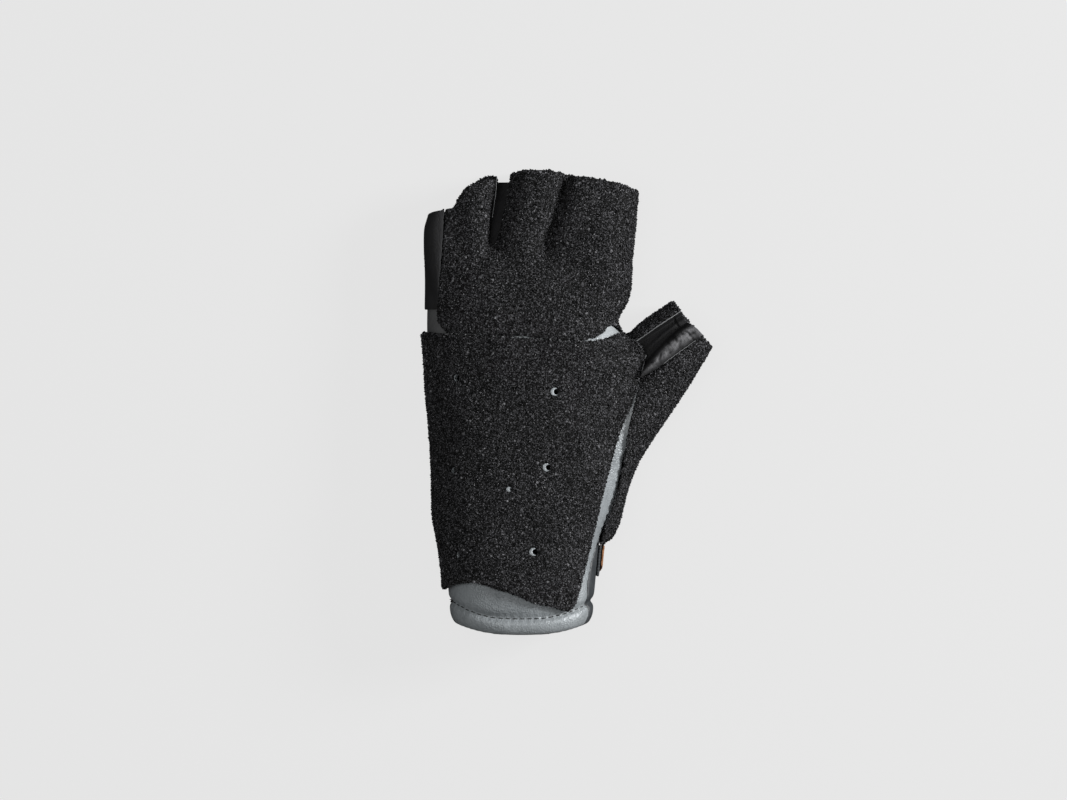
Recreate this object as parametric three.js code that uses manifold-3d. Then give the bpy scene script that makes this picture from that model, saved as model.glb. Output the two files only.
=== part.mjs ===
// A fingerless target-shooting glove for the left hand, lying on its palm with the back of the hand up.
// Millimetres. +X is the thumb side, +Y runs from the cuff to the fingers, +Z is up from where it lies.
// Every wall is a layer between two levels of one hollow hand form: level 0 is the outside of the leather.

import * as THREE from "three";
import { mergeVertices } from "three/addons/utils/BufferGeometryUtils.js";
import Module from "manifold-3d";

const wasm = await Module();
wasm.setup();

// Driving dimensions

const seamGap = 0.35; // between pieces that are sewn to each other
const leatherWall = 2; // padded silver and dark leather, level -2 to 0
const hemWall = 4.2; // from the hem's lining to its outside
const sideWall = 1.2; // soft black leather between the fingers
const gripWall = 2.2; // crumb rubber on its backing
const padWall = 2.8; // the thicker crumb rubber over wrist and hand
const strapWall = 1.2;
const tabWall = 1;

const sideLevel = seamGap + sideWall;
const gripLevel = seamGap + gripWall;
const padLevel = seamGap + padWall;
const strapLevel = seamGap + strapWall;
const tabLevel = strapLevel + seamGap + tabWall;
const restLevel = gripLevel; // the leather's underside is this far above the surface

const handSides = 36; // facets round each hollow form
const stallSides = 18;
const thumbSides = 20;
const hemReach = 6; // how far a hollow is cut on past an open end
const flatness = 1.1; // above 1, the underside is pressed flat where it lies

const ventRadius = 2;
const backSeamY = 158; // the silver leather ends here, under the finger grip
const palmGripStartY = 58;

// The hollow forms. A row is one section: its left and right edge seen from above, the height of its back,
// the height where it is widest, how far its middle runs ahead of its edges, and how far it is drawn in.
// The first rows are the padded hem, whose lining is not drawn in with it.

const handRows = [
  { y: 4.8, left: -33.3, right: 34.8, top: 48, mid: 25, bow: -4.8, inset: 4.2, hem: true },
  { y: 5.6, left: -33.3, right: 34.8, top: 48, mid: 25, bow: -5.2, inset: 2.6, hem: true },
  { y: 7.6, left: -33.3, right: 34.8, top: 48, mid: 25, bow: -6.0, inset: 1.2, hem: true },
  { y: 10.6, left: -33.3, right: 34.8, top: 48, mid: 25, bow: -6.9, inset: 0.2, hem: true },
  { y: 13.4, left: -33.4, right: 34.8, top: 48, mid: 25, bow: -7.6, inset: 0, hem: true },
  { y: 16.2, left: -33.6, right: 34.8, top: 48, mid: 24.5, bow: -8.2, inset: 1.2, hem: false },
  { y: 19.0, left: -33.9, right: 35.2, top: 48, mid: 24, bow: -7.4, inset: 0.1, hem: false },
  { y: 28.0, left: -34.4, right: 36.0, top: 47.5, mid: 23, bow: -4.0, inset: 0 },
  { y: 42.0, left: -36.2, right: 37.4, top: 46, mid: 21.5, bow: -1.0, inset: 0 },
  { y: 58.0, left: -39.0, right: 42.0, top: 44.5, mid: 19.5, bow: 0, inset: 0 },
  { y: 78.0, left: -39.4, right: 45.5, top: 43, mid: 17.5, bow: 0, inset: 0 },
  { y: 98.0, left: -40.6, right: 50.0, top: 42, mid: 16, bow: 0, inset: 0 },
  { y: 118.0, left: -42.5, right: 54.5, top: 41, mid: 15, bow: 0, inset: 0 },
  { y: 131.0, left: -43.2, right: 56.0, top: 39.5, mid: 14.5, bow: 0, inset: 0 },
  { y: 139.0, left: -44.0, right: 52.0, top: 38.5, mid: 14, bow: 0, inset: 0 },
  { y: 144.5, left: -44.3, right: 46.4, top: 37.7, mid: 14, bow: 0, inset: 0 },
  { y: 148.5, left: -44.3, right: 44.0, top: 37.2, mid: 14, bow: 0, inset: 0 },
  { y: 154.0, left: -44.2, right: 46.6, top: 36.5, mid: 14, bow: 0, inset: 0 },
  { y: 160.5, left: -44.1, right: 50.0, top: 35.5, mid: 14, bow: 0, inset: 0 },
  { y: 174.0, left: -43.8, right: 51.2, top: 33, mid: 14, bow: 0, inset: 0 },
  { y: 179.0, left: -43.8, right: 51.6, top: 31.5, mid: 14, bow: 0, inset: 1.2 },
  { y: 182.0, left: -43.8, right: 51.8, top: 30.5, mid: 14, bow: 0, inset: 5 },
];

const stallRows = {
  index: [
    { leftX: 13.6, leftY: 164, rightX: 49.2, rightY: 162, top: 33, mid: 14, bow: 0, inset: 1.5 },
    { leftX: 16.0, leftY: 184, rightX: 51.7, rightY: 183, top: 31, mid: 14, bow: 0, inset: 0 },
    { leftX: 20.8, leftY: 200, rightX: 53.0, rightY: 197, top: 29.8, mid: 14, bow: 0.8, inset: 0 },
    { leftX: 25.1, leftY: 217, rightX: 54.1, rightY: 211, top: 28.5, mid: 14, bow: 1.8, inset: 0 },
  ],
  middle: [
    { leftX: -11.0, leftY: 164, rightX: 10.8, rightY: 164, top: 34, mid: 14, bow: 0, inset: 1.5 },
    { leftX: -9.4, leftY: 184, rightX: 12.9, rightY: 184, top: 30.7, mid: 14, bow: 0, inset: 0 },
    { leftX: -5.6, leftY: 200, rightX: 17.6, rightY: 200, top: 29.2, mid: 14, bow: 1, inset: 0 },
    { leftX: -2.4, leftY: 218.6, rightX: 20.4, rightY: 217.6, top: 27.7, mid: 14, bow: 2.6, inset: 0 },
  ],
  ring: [
    { leftX: -28.4, leftY: 164, rightX: -18.4, rightY: 164, top: 33, mid: 13.5, bow: 0, inset: 1.5 },
    { leftX: -27.6, leftY: 182, rightX: -17.4, rightY: 184, top: 30, mid: 13.5, bow: 0, inset: 0 },
    { leftX: -27.8, leftY: 193, rightX: -16.9, rightY: 199, top: 29, mid: 13.5, bow: 2, inset: 0 },
    { leftX: -27.6, leftY: 204.5, rightX: -13.5, rightY: 216.4, top: 27, mid: 13.5, bow: 5.6, inset: 0 },
  ],
  little: [
    { leftX: -43.2, leftY: 162, rightX: -32.0, rightY: 162, top: 29.5, mid: 13, bow: 0, inset: 1.5 },
    { leftX: -43.8, leftY: 180, rightX: -30.8, rightY: 181, top: 27, mid: 13, bow: 0, inset: 0 },
    { leftX: -43.6, leftY: 192, rightX: -30.9, rightY: 193, top: 25.5, mid: 13, bow: 0.4, inset: 0 },
    { leftX: -41.4, leftY: 199.8, rightX: -31.0, rightY: 200.6, top: 24, mid: 13, bow: 1.2, inset: 0 },
  ],
};

// The thumb has a soft side that is folded inwards: fold is how deep.
const thumbRows = [
  { leftX: 12, leftY: 54, rightX: 40.8, rightY: 44.4, top: 27, mid: 14, bow: 0, inset: 0.4, fold: 0 },
  { leftX: 18, leftY: 76, rightX: 48.4, rightY: 66.5, top: 30, mid: 14, bow: 0, inset: 0, fold: 0 },
  { leftX: 25, leftY: 95, rightX: 54.4, rightY: 82.5, top: 31, mid: 14, bow: 0, inset: 0, fold: 0 },
  { leftX: 35, leftY: 116, rightX: 61.2, rightY: 93.5, top: 30, mid: 14, bow: 0, inset: 0, fold: 1 },
  { leftX: 47, leftY: 133, rightX: 70.4, rightY: 107, top: 28.5, mid: 13.5, bow: 0, inset: 0, fold: 4 },
  { leftX: 57.6, leftY: 145, rightX: 79.8, rightY: 121.2, top: 27, mid: 13, bow: 0, inset: 0, fold: 6 },
  { leftX: 73.5, leftY: 155.7, rightX: 89, rightY: 137.5, top: 25, mid: 13, bow: 0, inset: 0, fold: 4.5 },
];
const foldPlace = -0.18; // across the thumb, from -1 at its left edge to 1 at its right
const foldWidth = 0.24;

// How square the backs are, left and right of their middles: 2 is an ellipse.
const backPowers = {
  hand: [2.3, 2.3],
  index: [4.5, 2.5],
  middle: [2.6, 2.1],
  ring: [2.6, 2.6],
  little: [2.6, 2.6],
  thumb: [2.2, 2.2],
};

function handRow({ y, left, right, ...rest }) {
  return { leftX: left, leftY: y, rightX: right, rightY: y, ...rest };
}

const handForm = {
  closedEnd: true,
  sides: handSides,
  backPower: backPowers.hand,
  rows: handRows.map(handRow),
};
const stallForms = Object.entries(stallRows).map(([name, rows]) => ({
  sides: stallSides,
  backPower: backPowers[name],
  rows,
}));
const thumbForm = { sides: thumbSides, backPower: backPowers.thumb, rows: thumbRows };
const palmPower = 3;
const bowPower = 2.5;

// Outlines of the pieces, seen from above

const padTopEdge = [
  [-54, 143.4],
  [-30, 142.6],
  [0, 140.6],
  [24, 139.2],
  [38, 139.6],
  [48.5, 143.6],
];
const padRightEdge = [
  [50.5, 141.0],
  [55.2, 139.0],
  [58.2, 135.8],
  [59.2, 131.5],
  [55.1, 113.5],
  [43.0, 78],
  [35.1, 49],
  [28.0, 20.5],
  [26.4, 14.6],
];
const padFreeEdge = [
  [22.8, 11.0],
  [14.0, 13.8],
  [5.7, 15.7],
  [-1.0, 18.7],
  [-10.5, 21.9],
  [-22.0, 25.0],
  [-31.0, 23.8],
  [-35.0, 22.0],
  [-54, 17.0],
];

// From the strip of silver leather beside the pad to the lower end of the thumb's grip.
const thumbGripEdge = [
  [60, 118],
  [55.8, 113.5],
  [49.8, 88],
  [47.1, 73.4],
  [43.5, 60],
  [38.9, 45.8],
  [38.2, 42.6],
];

// The soft side of the thumb between its two grip pieces, from the hand to the open end.
const gussetLeftEdge = [
  [40, 128],
  [55.6, 139.4],
  [66, 146.6],
  [76.6, 153.6],
  [82, 157.4],
];
const gussetRightEdge = [
  [90, 144.4],
  [83.1, 139.4],
  [72, 131.4],
  [61.8, 123.8],
  [56.0, 114.5],
];

const fingerGripEdge = [
  [-39.4, 154.2],
  [-39.4, 149.6],
  [-36.2, 144.2],
  [0, 141.2],
  [33.0, 139.9],
  [38.6, 142.0],
  [41.4, 144.9],
  [43.1, 146.3],
  [44.6, 146.6],
  [46.3, 145.7],
  [47.5, 144.4],
  [48.9, 142.9],
  [50.6, 145.6],
  [53.5, 150.5],
];

const littleSeam = [
  [-39.4, 154.2],
  [-37.8, 170],
  [-36.8, 184],
  [-35.9, 200],
  [-35.6, 210],
];

// The slits between the fingers: where each ends, how wide the soft leather runs, and how high it reaches.
const slits = [
  { name: "fourchette_little_ring", foot: [-29.2, 180], end: [-29.2, 212], half: 3.4, low: 7, high: 17 },
  { name: "fourchette_ring_middle", foot: [-13.4, 180], end: [-7.2, 226], half: 6, low: 7, high: 17.5 },
  { name: "fourchette_middle_index", foot: [13.4, 180], end: [24.8, 222], half: 3.4, low: 7, high: 18 },
];

// The web of soft leather that fills the widest slit, below the tops of the two fingers.
const web = { footY: 181, endY: 214.8, footHalf: 4, endHalf: 5.4, low: 15.5, high: 16.9 };

// The vents through the pad, each square to the surface.
const vents = [
  { x: 16.2, y: 115 },
  { x: 12.4, y: 79.3 },
  { x: 6.2, y: 39.4 },
  { x: -5.2, y: 68.9 },
  { x: -29.4, y: 121.6 },
  { x: -30.6, y: 78 },
  { x: -28.4, y: 38 },
];

// The seam between back and palm leather: its height on the little-finger side and on the thumb side.
const seamRows = [
  { y: -20, leftZ: 12, rightZ: 36 },
  { y: 18, leftZ: 12, rightZ: 36 },
  { y: 24, leftZ: 12, rightZ: 33.2 },
  { y: 30, leftZ: 12, rightZ: 30.4 },
  { y: 35, leftZ: 12, rightZ: 27 },
  { y: 55, leftZ: 12, rightZ: 20 },
  { y: 90, leftZ: 12, rightZ: 14 },
  { y: 240, leftZ: 12, rightZ: 14 },
];
const gripSeamZ = 12; // between the back and palm grip pieces on fingers and thumb

// The seam between the palm grip and the thumb's palm-side grip.
const palmThumbSeam = [
  [76, 240],
  [61, 172],
  [54.2, 152],
  [48.6, 148],
  [46.5, 141],
  [45.6, 128],
  [43, 108],
  [40.5, 84],
  [38.5, 62],
  [37.5, 42.6],
];

const strap = { startY: 25, endY: 42.2, leftTopZ: 11, rightTopZ: 19 };
const pullTab = { startY: 27.5, endY: 42.2, lowZ: 5, highZ: 24, insideX: 30 };

// Shapes

// One closed ring of points round a hollow form, at a level, moved along the form by shift.
function ringAt(form, row, level, shift) {
  const left = new THREE.Vector2(row.leftX, row.leftY);
  const right = new THREE.Vector2(row.rightX, row.rightY);
  const across = right.clone().sub(left).normalize();
  const ahead = new THREE.Vector2(-across.y, across.x);
  const centre = left.clone().add(right).multiplyScalar(0.5).addScaledVector(ahead, shift);
  const grow = level < 0 && row.hem ? -hemWall : level - row.inset;
  const half = left.distanceTo(right) / 2 + grow;
  const rise = row.top + grow - row.mid;
  const floor = restLevel - grow;
  const drop = (row.mid - floor) * flatness;
  return Array.from({ length: form.sides }, (_, i) => {
    const angle = (2 * Math.PI * i) / form.sides;
    const upper = Math.sin(angle) > 0;
    const backPower = form.backPower[Math.cos(angle) < 0 ? 0 : 1];
    const power = 2 / (upper ? backPower : palmPower);
    const side = Math.sign(Math.cos(angle)) * Math.abs(Math.cos(angle)) ** power;
    const up = Math.sign(Math.sin(angle)) * Math.abs(Math.sin(angle)) ** power;
    const foldShare = Math.exp(-(((side - foldPlace) / foldWidth) ** 2));
    const dent = upper && row.fold ? row.fold * foldShare : 0;
    const z = upper ? row.mid + rise * up - dent : Math.max(row.mid + drop * up, floor);
    const spot = centre
      .clone()
      .addScaledVector(across, half * side)
      .addScaledVector(ahead, row.bow * (1 - Math.abs(side) ** bowPower));
    return [spot.x, spot.y, z];
  });
}

// A closed solid through rings of points that all have the same length.
function loft(rings) {
  const sides = rings[0].length;
  const middle = (ring) => [0, 1, 2].map((k) => ring.reduce((sum, p) => sum + p[k], 0) / sides);
  const points = [...rings.flat(), middle(rings[0]), middle(rings.at(-1))];
  const first = points.length - 2;
  const last = points.length - 1;
  const lastRing = (rings.length - 1) * sides;
  const faces = [];
  for (let i = 0; i < sides; i++) {
    const next = (i + 1) % sides;
    faces.push(first, i, next, last, lastRing + next, lastRing + i);
    for (let j = 0; j + 1 < rings.length; j++) {
      const a = j * sides + i;
      const b = j * sides + next;
      faces.push(a, a + sides, b, b, a + sides, b + sides);
    }
  }
  const geometry = new THREE.BufferGeometry();
  geometry.setAttribute("position", new THREE.Float32BufferAttribute(points.flat(), 3));
  geometry.setIndex(faces);
  return solidOf(geometry);
}

function solidOf(geometry) {
  const bare = geometry.clone();
  bare.deleteAttribute("normal");
  bare.deleteAttribute("uv");
  const merged = mergeVertices(bare, 1e-4);
  return new wasm.Manifold(
    new wasm.Mesh({
      numProp: 3,
      vertProperties: new Float32Array(merged.attributes.position.array),
      triVerts: new Uint32Array(merged.index.array),
    }),
  );
}

// A hollow form as a solid at a level. With open true it runs on past its open ends.
function formAt(form, level, open, openStart) {
  const { rows } = form;
  const last = rows.at(-1);
  const rings = rows.map((row) => ringAt(form, row, level, row === last && form.closedEnd ? level : 0));
  if (open) rings.push(ringAt(form, last, level, hemReach));
  if (openStart) rings.unshift(ringAt(form, rows[0], level, -hemReach));
  return loft(rings);
}

const inOne = (solids) => solids.reduce((whole, solid) => whole.add(solid));

// The whole hand at a level: the hand, its four finger stalls and the thumb.
function wholeAt(level, open) {
  const hand = formAt(handForm, level, false, open);
  const branches = [...stallForms, thumbForm].map((form) => formAt(form, level, open));
  return inOne([hand, ...branches]);
}

// An upright block with a plan outline, between two heights.
function block(outline, low, high) {
  const shape = new THREE.Shape(outline.map(([x, y]) => new THREE.Vector2(x, y)));
  const geometry = new THREE.ExtrudeGeometry(shape, { depth: high - low, bevelEnabled: false });
  return solidOf(geometry.translate(0, 0, low));
}

const rectangle = (x0, y0, x1, y1) => [
  [x0, y0],
  [x1, y0],
  [x1, y1],
  [x0, y1],
];

// A strip along a line in plan, as wide as given, for cutting a seam gap or a slit.
function stripAlong(line, halfWidth, low, high) {
  const spots = line.map(([x, y]) => new THREE.Vector2(x, y));
  const sideways = spots.map((spot, i) => {
    const before = spots[Math.max(i - 1, 0)];
    const after = spots[Math.min(i + 1, spots.length - 1)];
    const along = after.clone().sub(before).normalize();
    return new THREE.Vector2(-along.y, along.x).multiplyScalar(halfWidth);
  });
  const one = spots.map((spot, i) => spot.clone().add(sideways[i]).toArray());
  const other = spots.map((spot, i) => spot.clone().sub(sideways[i]).toArray());
  return block([...one, ...other.reverse()], low, high);
}

// Everything above (or below) the seam between back and palm, with half a gap left at the seam.
function aboveSeam(upper) {
  const far = 120;
  const gap = (upper ? seamGap : -seamGap) / 2;
  const rings = seamRows.map(({ y, leftZ, rightZ }) => {
    const edge = [
      [-far, y, leftZ + gap],
      [-45, y, leftZ + gap],
      [30, y, rightZ + gap],
      [far, y, rightZ + gap],
    ];
    return upper
      ? [...edge, [far, y, far], [-far, y, far]]
      : [[-far, y, -far], [far, y, -far], ...edge.reverse()];
  });
  return loft(rings);
}

// The spot on the back of the hand over a place in plan, and the direction square to it in its section.
function onBack(x, y) {
  const after = handRows.findIndex((row) => row.y > y);
  const [a, b] = [handRows[after - 1], handRows[after]];
  const t = (y - a.y) / (b.y - a.y);
  const mix = (key) => a[key] + (b[key] - a[key]) * t;
  const centre = (mix("left") + mix("right")) / 2;
  const half = (mix("right") - mix("left")) / 2;
  const rise = mix("top") - mix("mid");
  const [power] = handForm.backPower;
  const side = (x - centre) / half;
  const up = (1 - Math.abs(side) ** power) ** (1 / power);
  const slope = new THREE.Vector3(
    (Math.sign(side) * Math.abs(side) ** (power - 1)) / half,
    0,
    up ** (power - 1) / rise,
  );
  return { spot: new THREE.Vector3(x, y, mix("mid") + rise * up), normal: slope.normalize() };
}

function vent({ x, y }) {
  const { spot, normal } = onBack(x, y);
  const drill = new THREE.CylinderGeometry(ventRadius, ventRadius, 16, 12);
  drill.applyQuaternion(new THREE.Quaternion().setFromUnitVectors(new THREE.Vector3(0, 1, 0), normal));
  return solidOf(drill.translate(spot.x, spot.y, spot.z));
}

const without = (solid, cutters) => cutters.reduce((rest, cutter) => rest.subtract(cutter), solid);

// The largest body of a cut, without the crumbs that a cut can leave at a corner.
function mainBody(solid) {
  const [first, ...others] = solid.decompose();
  return others.reduce((best, body) => (body.volume() > best.volume() ? body : best), first);
}

// Layers of the whole hand

const hollow = wholeAt(-leatherWall, true);
const core = wholeAt(seamGap, true);
const leatherLayer = wholeAt(0).subtract(hollow);
const sideLayer = wholeAt(sideLevel).subtract(core);
const strapLayer = wholeAt(strapLevel).subtract(core);
const gripLayer = wholeAt(gripLevel).subtract(core);
const padLayer = wholeAt(padLevel).subtract(core);
const tabLayer = wholeAt(tabLevel).subtract(wholeAt(strapLevel + seamGap));

// Regions of the pieces, seen from above

const low = -10;
const high = 80;
const halfGap = seamGap / 2;
const padOutline = [...padTopEdge, ...padRightEdge, ...padFreeEdge];
const fingerOutline = [...fingerGripEdge, [61, 172], [70, 240], ...littleSeam.slice(1).reverse()];
const thumbOutline = [
  ...thumbGripEdge,
  [100, 42.6],
  [120, 150],
  [90, 175],
  [55, 150],
  [50.5, 142.4],
  [51, 128],
];
const thumbWebOutline = [...gussetLeftEdge, [80, 175], [60, 166], [54.5, 152], [49.6, 142.6]];
const palmOutline = [
  [-70, palmGripStartY],
  [38.2, palmGripStartY],
  ...palmThumbSeam.slice(0, -1).reverse(),
  [-70, 240],
];
const thumbPalmOutline = [...palmThumbSeam, [60, 42.6], [120, 60], [120, 240]];
const leatherOutline = [
  [-70, -20],
  [60, -20],
  [60, 40],
  [45, 62],
  [49, 84],
  [56, 108],
  [57, 120],
  [53, 136],
  [50, 150],
  [70, 156],
  [70, backSeamY],
  [-70, backSeamY],
];

const seamAlong = (line, from) => stripAlong(line, halfGap, from, high);
const padRoom = block(padOutline, gripSeamZ, high).add(seamAlong(padOutline, gripSeamZ));
const gussetBlock = block([...gussetLeftEdge, ...gussetRightEdge], gripSeamZ + seamGap, high);
const gussetRoom = block([...gussetLeftEdge, ...gussetRightEdge], gripSeamZ, high)
  .add(seamAlong(gussetLeftEdge, gripSeamZ))
  .add(seamAlong(gussetRightEdge, gripSeamZ));

function slitAt({ foot, end, half, low: from, high: to }, gap) {
  const start = [foot[0], foot[1] - gap];
  return stripAlong([start, end], half + gap, from - gap, to + gap);
}
const slitRoom = slits.map((slit) => slitAt(slit, seamGap));

function littleSideAt(gap) {
  const seamLine = littleSeam.map(([x, y]) => [x + gap, y - gap]);
  const outline = [[-70, littleSeam[0][1] - gap], ...seamLine, [-70, 210]];
  return block(outline, gripSeamZ - 5 - gap, high);
}

// Bare leather under the pad's corner at the little-finger side.
const patchRoom = block(rectangle(-70, 141, -36, 154.6), 6.5, 20);

// Pieces

const leather = leatherLayer.intersect(block(leatherOutline, low, high));
const backLeather = leather.intersect(aboveSeam(true));
const palmLeather = leather.intersect(aboveSeam(false));

const wholePad = padLayer.intersect(block(padOutline, gripSeamZ + halfGap, high));
const wristPad = mainBody(without(wholePad, vents.map(vent)));

const fingers = gripLayer.intersect(block(fingerOutline, gripSeamZ + halfGap, high));
const fingerGrip = without(fingers, [littleSideAt(seamGap), padRoom, ...slitRoom]);
const palm = gripLayer.intersect(block(palmOutline, low, gripSeamZ - halfGap));
const palmCuts = [littleSideAt(seamGap), seamAlong(palmThumbSeam, low), patchRoom, ...slitRoom];
const palmGrip = without(palm, palmCuts);

const thumb = gripLayer.intersect(block(thumbOutline, gripSeamZ + halfGap, high));
const thumbFront = without(thumb, [gussetRoom, padRoom, block(thumbWebOutline, low, high)]);
const thumbWeb = gripLayer.intersect(block(thumbWebOutline, gripSeamZ - 1, high));
const thumbPalm = gripLayer.intersect(block(thumbPalmOutline, low, gripSeamZ - halfGap));
const thumbBackCuts = [seamAlong(palmThumbSeam, low), gussetRoom, padRoom];
const thumbBack = mainBody(without(thumbPalm.add(thumbWeb), thumbBackCuts));
const gusset = sideLayer.intersect(gussetBlock).subtract(padRoom);

const littleSide = sideLayer.intersect(littleSideAt(0));

// Where the middle of a slit is at a height y in plan.
function slitX({ foot, end }, y) {
  return foot[0] + ((end[0] - foot[0]) * (y - foot[1])) / (end[1] - foot[1]);
}

const webFootX = slitX(slits[1], web.footY);
const webEndX = slitX(slits[1], web.endY);
const webOutline = [
  [webFootX - web.footHalf, web.footY],
  [webFootX + web.footHalf, web.footY],
  [webEndX + web.endHalf, web.endY],
  [webEndX - web.endHalf, web.endY],
];
const webPiece = block(webOutline, web.low, web.high).subtract(core);
const fourchettes = slits.map((slit) => sideLayer.intersect(slitAt(slit, 0)));
fourchettes[1] = fourchettes[1].add(webPiece);

const strapLeft = block(rectangle(-60, strap.startY, 0, strap.endY), low, strap.leftTopZ);
const strapRight = block(rectangle(-1, strap.startY, 60, strap.endY), low, strap.rightTopZ);
const wristStrap = strapLayer.intersect(strapLeft.add(strapRight));
const tabOutline = rectangle(pullTab.insideX, pullTab.startY, 60, pullTab.endY);
const pullTabPiece = tabLayer.intersect(block(tabOutline, pullTab.lowZ, pullTab.highZ));

// The scene

const finishes = {
  silverLeather: { color: 0x9aa0a4, roughness: 0.5 },
  darkLeather: { color: 0x3b3f42, roughness: 0.55 },
  blackLeather: { color: 0x161616, roughness: 0.5 },
  crumbRubber: { color: 0x121213, roughness: 0.9 },
  strapWebbing: { color: 0x1d1e20, roughness: 0.85 },
  rustLeather: { color: 0x8a4a24, roughness: 0.6 },
};

function meshOf(name, solid, finish) {
  const { vertProperties, triVerts } = solid.getMesh();
  const geometry = new THREE.BufferGeometry();
  geometry.setAttribute("position", new THREE.BufferAttribute(vertProperties, 3));
  geometry.setIndex(new THREE.BufferAttribute(triVerts, 1));
  geometry.computeVertexNormals();
  const material = new THREE.MeshStandardMaterial({ metalness: 0, ...finishes[finish] });
  const mesh = new THREE.Mesh(geometry, material);
  mesh.name = name;
  return mesh;
}

const glove = new THREE.Group();
glove.add(
  meshOf("back_leather", backLeather, "silverLeather"),
  meshOf("palm_leather", palmLeather, "darkLeather"),
  meshOf("wrist_pad", wristPad, "crumbRubber"),
  meshOf("finger_grip", fingerGrip, "crumbRubber"),
  meshOf("palm_grip", palmGrip, "crumbRubber"),
  meshOf("thumb_grip_front", thumbFront, "crumbRubber"),
  meshOf("thumb_grip_back", thumbBack, "crumbRubber"),
  meshOf("thumb_gusset", gusset, "blackLeather"),
  meshOf("little_finger_side", littleSide, "blackLeather"),
  ...fourchettes.map((solid, i) => meshOf(slits[i].name, solid, "blackLeather")),
  meshOf("wrist_strap", wristStrap, "strapWebbing"),
  meshOf("strap_pull_tab", pullTabPiece, "rustLeather"),
);

// The frame's origin is under the middle of the whole glove.
const box = new THREE.Box3().setFromObject(glove);
const centre = box.getCenter(new THREE.Vector3());
glove.position.set(-centre.x, -centre.y, -box.min.z);

export default glove;
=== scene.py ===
import math
import time

import bpy
import numpy as np
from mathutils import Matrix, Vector, noise
from mathutils.bvhtree import BVHTree
from mathutils.kdtree import KDTree


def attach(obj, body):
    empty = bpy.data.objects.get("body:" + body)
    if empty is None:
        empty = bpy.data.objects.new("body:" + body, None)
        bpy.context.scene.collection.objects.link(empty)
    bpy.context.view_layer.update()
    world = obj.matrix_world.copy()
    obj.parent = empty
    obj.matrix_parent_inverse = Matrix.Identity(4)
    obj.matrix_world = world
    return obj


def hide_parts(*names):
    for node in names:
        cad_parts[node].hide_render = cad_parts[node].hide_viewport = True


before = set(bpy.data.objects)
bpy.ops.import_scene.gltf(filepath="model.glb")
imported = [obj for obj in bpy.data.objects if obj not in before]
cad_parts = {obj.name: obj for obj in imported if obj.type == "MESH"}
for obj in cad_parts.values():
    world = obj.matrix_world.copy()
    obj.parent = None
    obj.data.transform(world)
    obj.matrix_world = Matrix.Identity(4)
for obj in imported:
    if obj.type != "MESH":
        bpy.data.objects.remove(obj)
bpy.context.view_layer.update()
started = time.time()


def report(text):
    print(f"{time.time() - started:6.1f} s  {text}")


# All tables are in millimetres on the glove's own drawing. x runs to the thumb, y from the cuff to the fingers,
# and z up from the table. The drawing is moved under the middle of the glove at the very end.
drawing = {"moveX": -21.638, "moveY": -110.383, "metre": 0.001}

# The hollow forms, the same as the solids but through smooth curves.

levels = {
    "lining": -2.0, "leather": 0.0, "core": 0.35, "side": 1.55, "grip": 2.55, "pad": 3.15, "strapGap": 1.9,
    "tab": 2.9, "rest": 2.55,
}

handColumns = ("leftX", "rightX", "y", "top", "mid", "bow", "inset", "hem")
handRows = [
    (-33.3, 34.8, 4.8, 48, 25, -4.8, 4.2, 1), (-33.3, 34.8, 5.6, 48, 25, -5.2, 2.6, 1),
    (-33.3, 34.8, 7.6, 48, 25, -6, 1.2, 1), (-33.3, 34.8, 10.6, 48, 25, -6.9, 0.2, 1),
    (-33.4, 34.8, 13.4, 48, 25, -7.6, 0, 1), (-33.6, 34.8, 16.2, 48, 24.5, -8.2, 1.2, 0),
    (-33.9, 35.2, 19, 48, 24, -7.4, 0.1, 0), (-34.4, 36, 28, 47.5, 23, -4, 0, 0),
    (-36.2, 37.4, 42, 46, 21.5, -1, 0, 0), (-39, 42, 58, 44.5, 19.5, 0, 0, 0), (-39.4, 45.5, 78, 43, 17.5, 0, 0, 0),
    (-40.6, 50, 98, 42, 16, 0, 0, 0), (-42.5, 54.5, 118, 41, 15, 0, 0, 0), (-43.2, 56, 131, 39.5, 14.5, 0, 0, 0),
    (-44, 52, 139, 38.5, 14, 0, 0, 0), (-44.3, 46.4, 144.5, 37.7, 14, 0, 0, 0), (-44.3, 44, 148.5, 37.2, 14, 0, 0, 0),
    (-44.2, 46.6, 154, 36.5, 14, 0, 0, 0), (-44.1, 50, 160.5, 35.5, 14, 0, 0, 0), (-43.8, 51.2, 174, 33, 14, 0, 0, 0),
    (-43.8, 51.6, 179, 31.5, 14, 0, 1.2, 0), (-43.8, 51.8, 182, 30.5, 14, 0, 5, 0),
]

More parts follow.
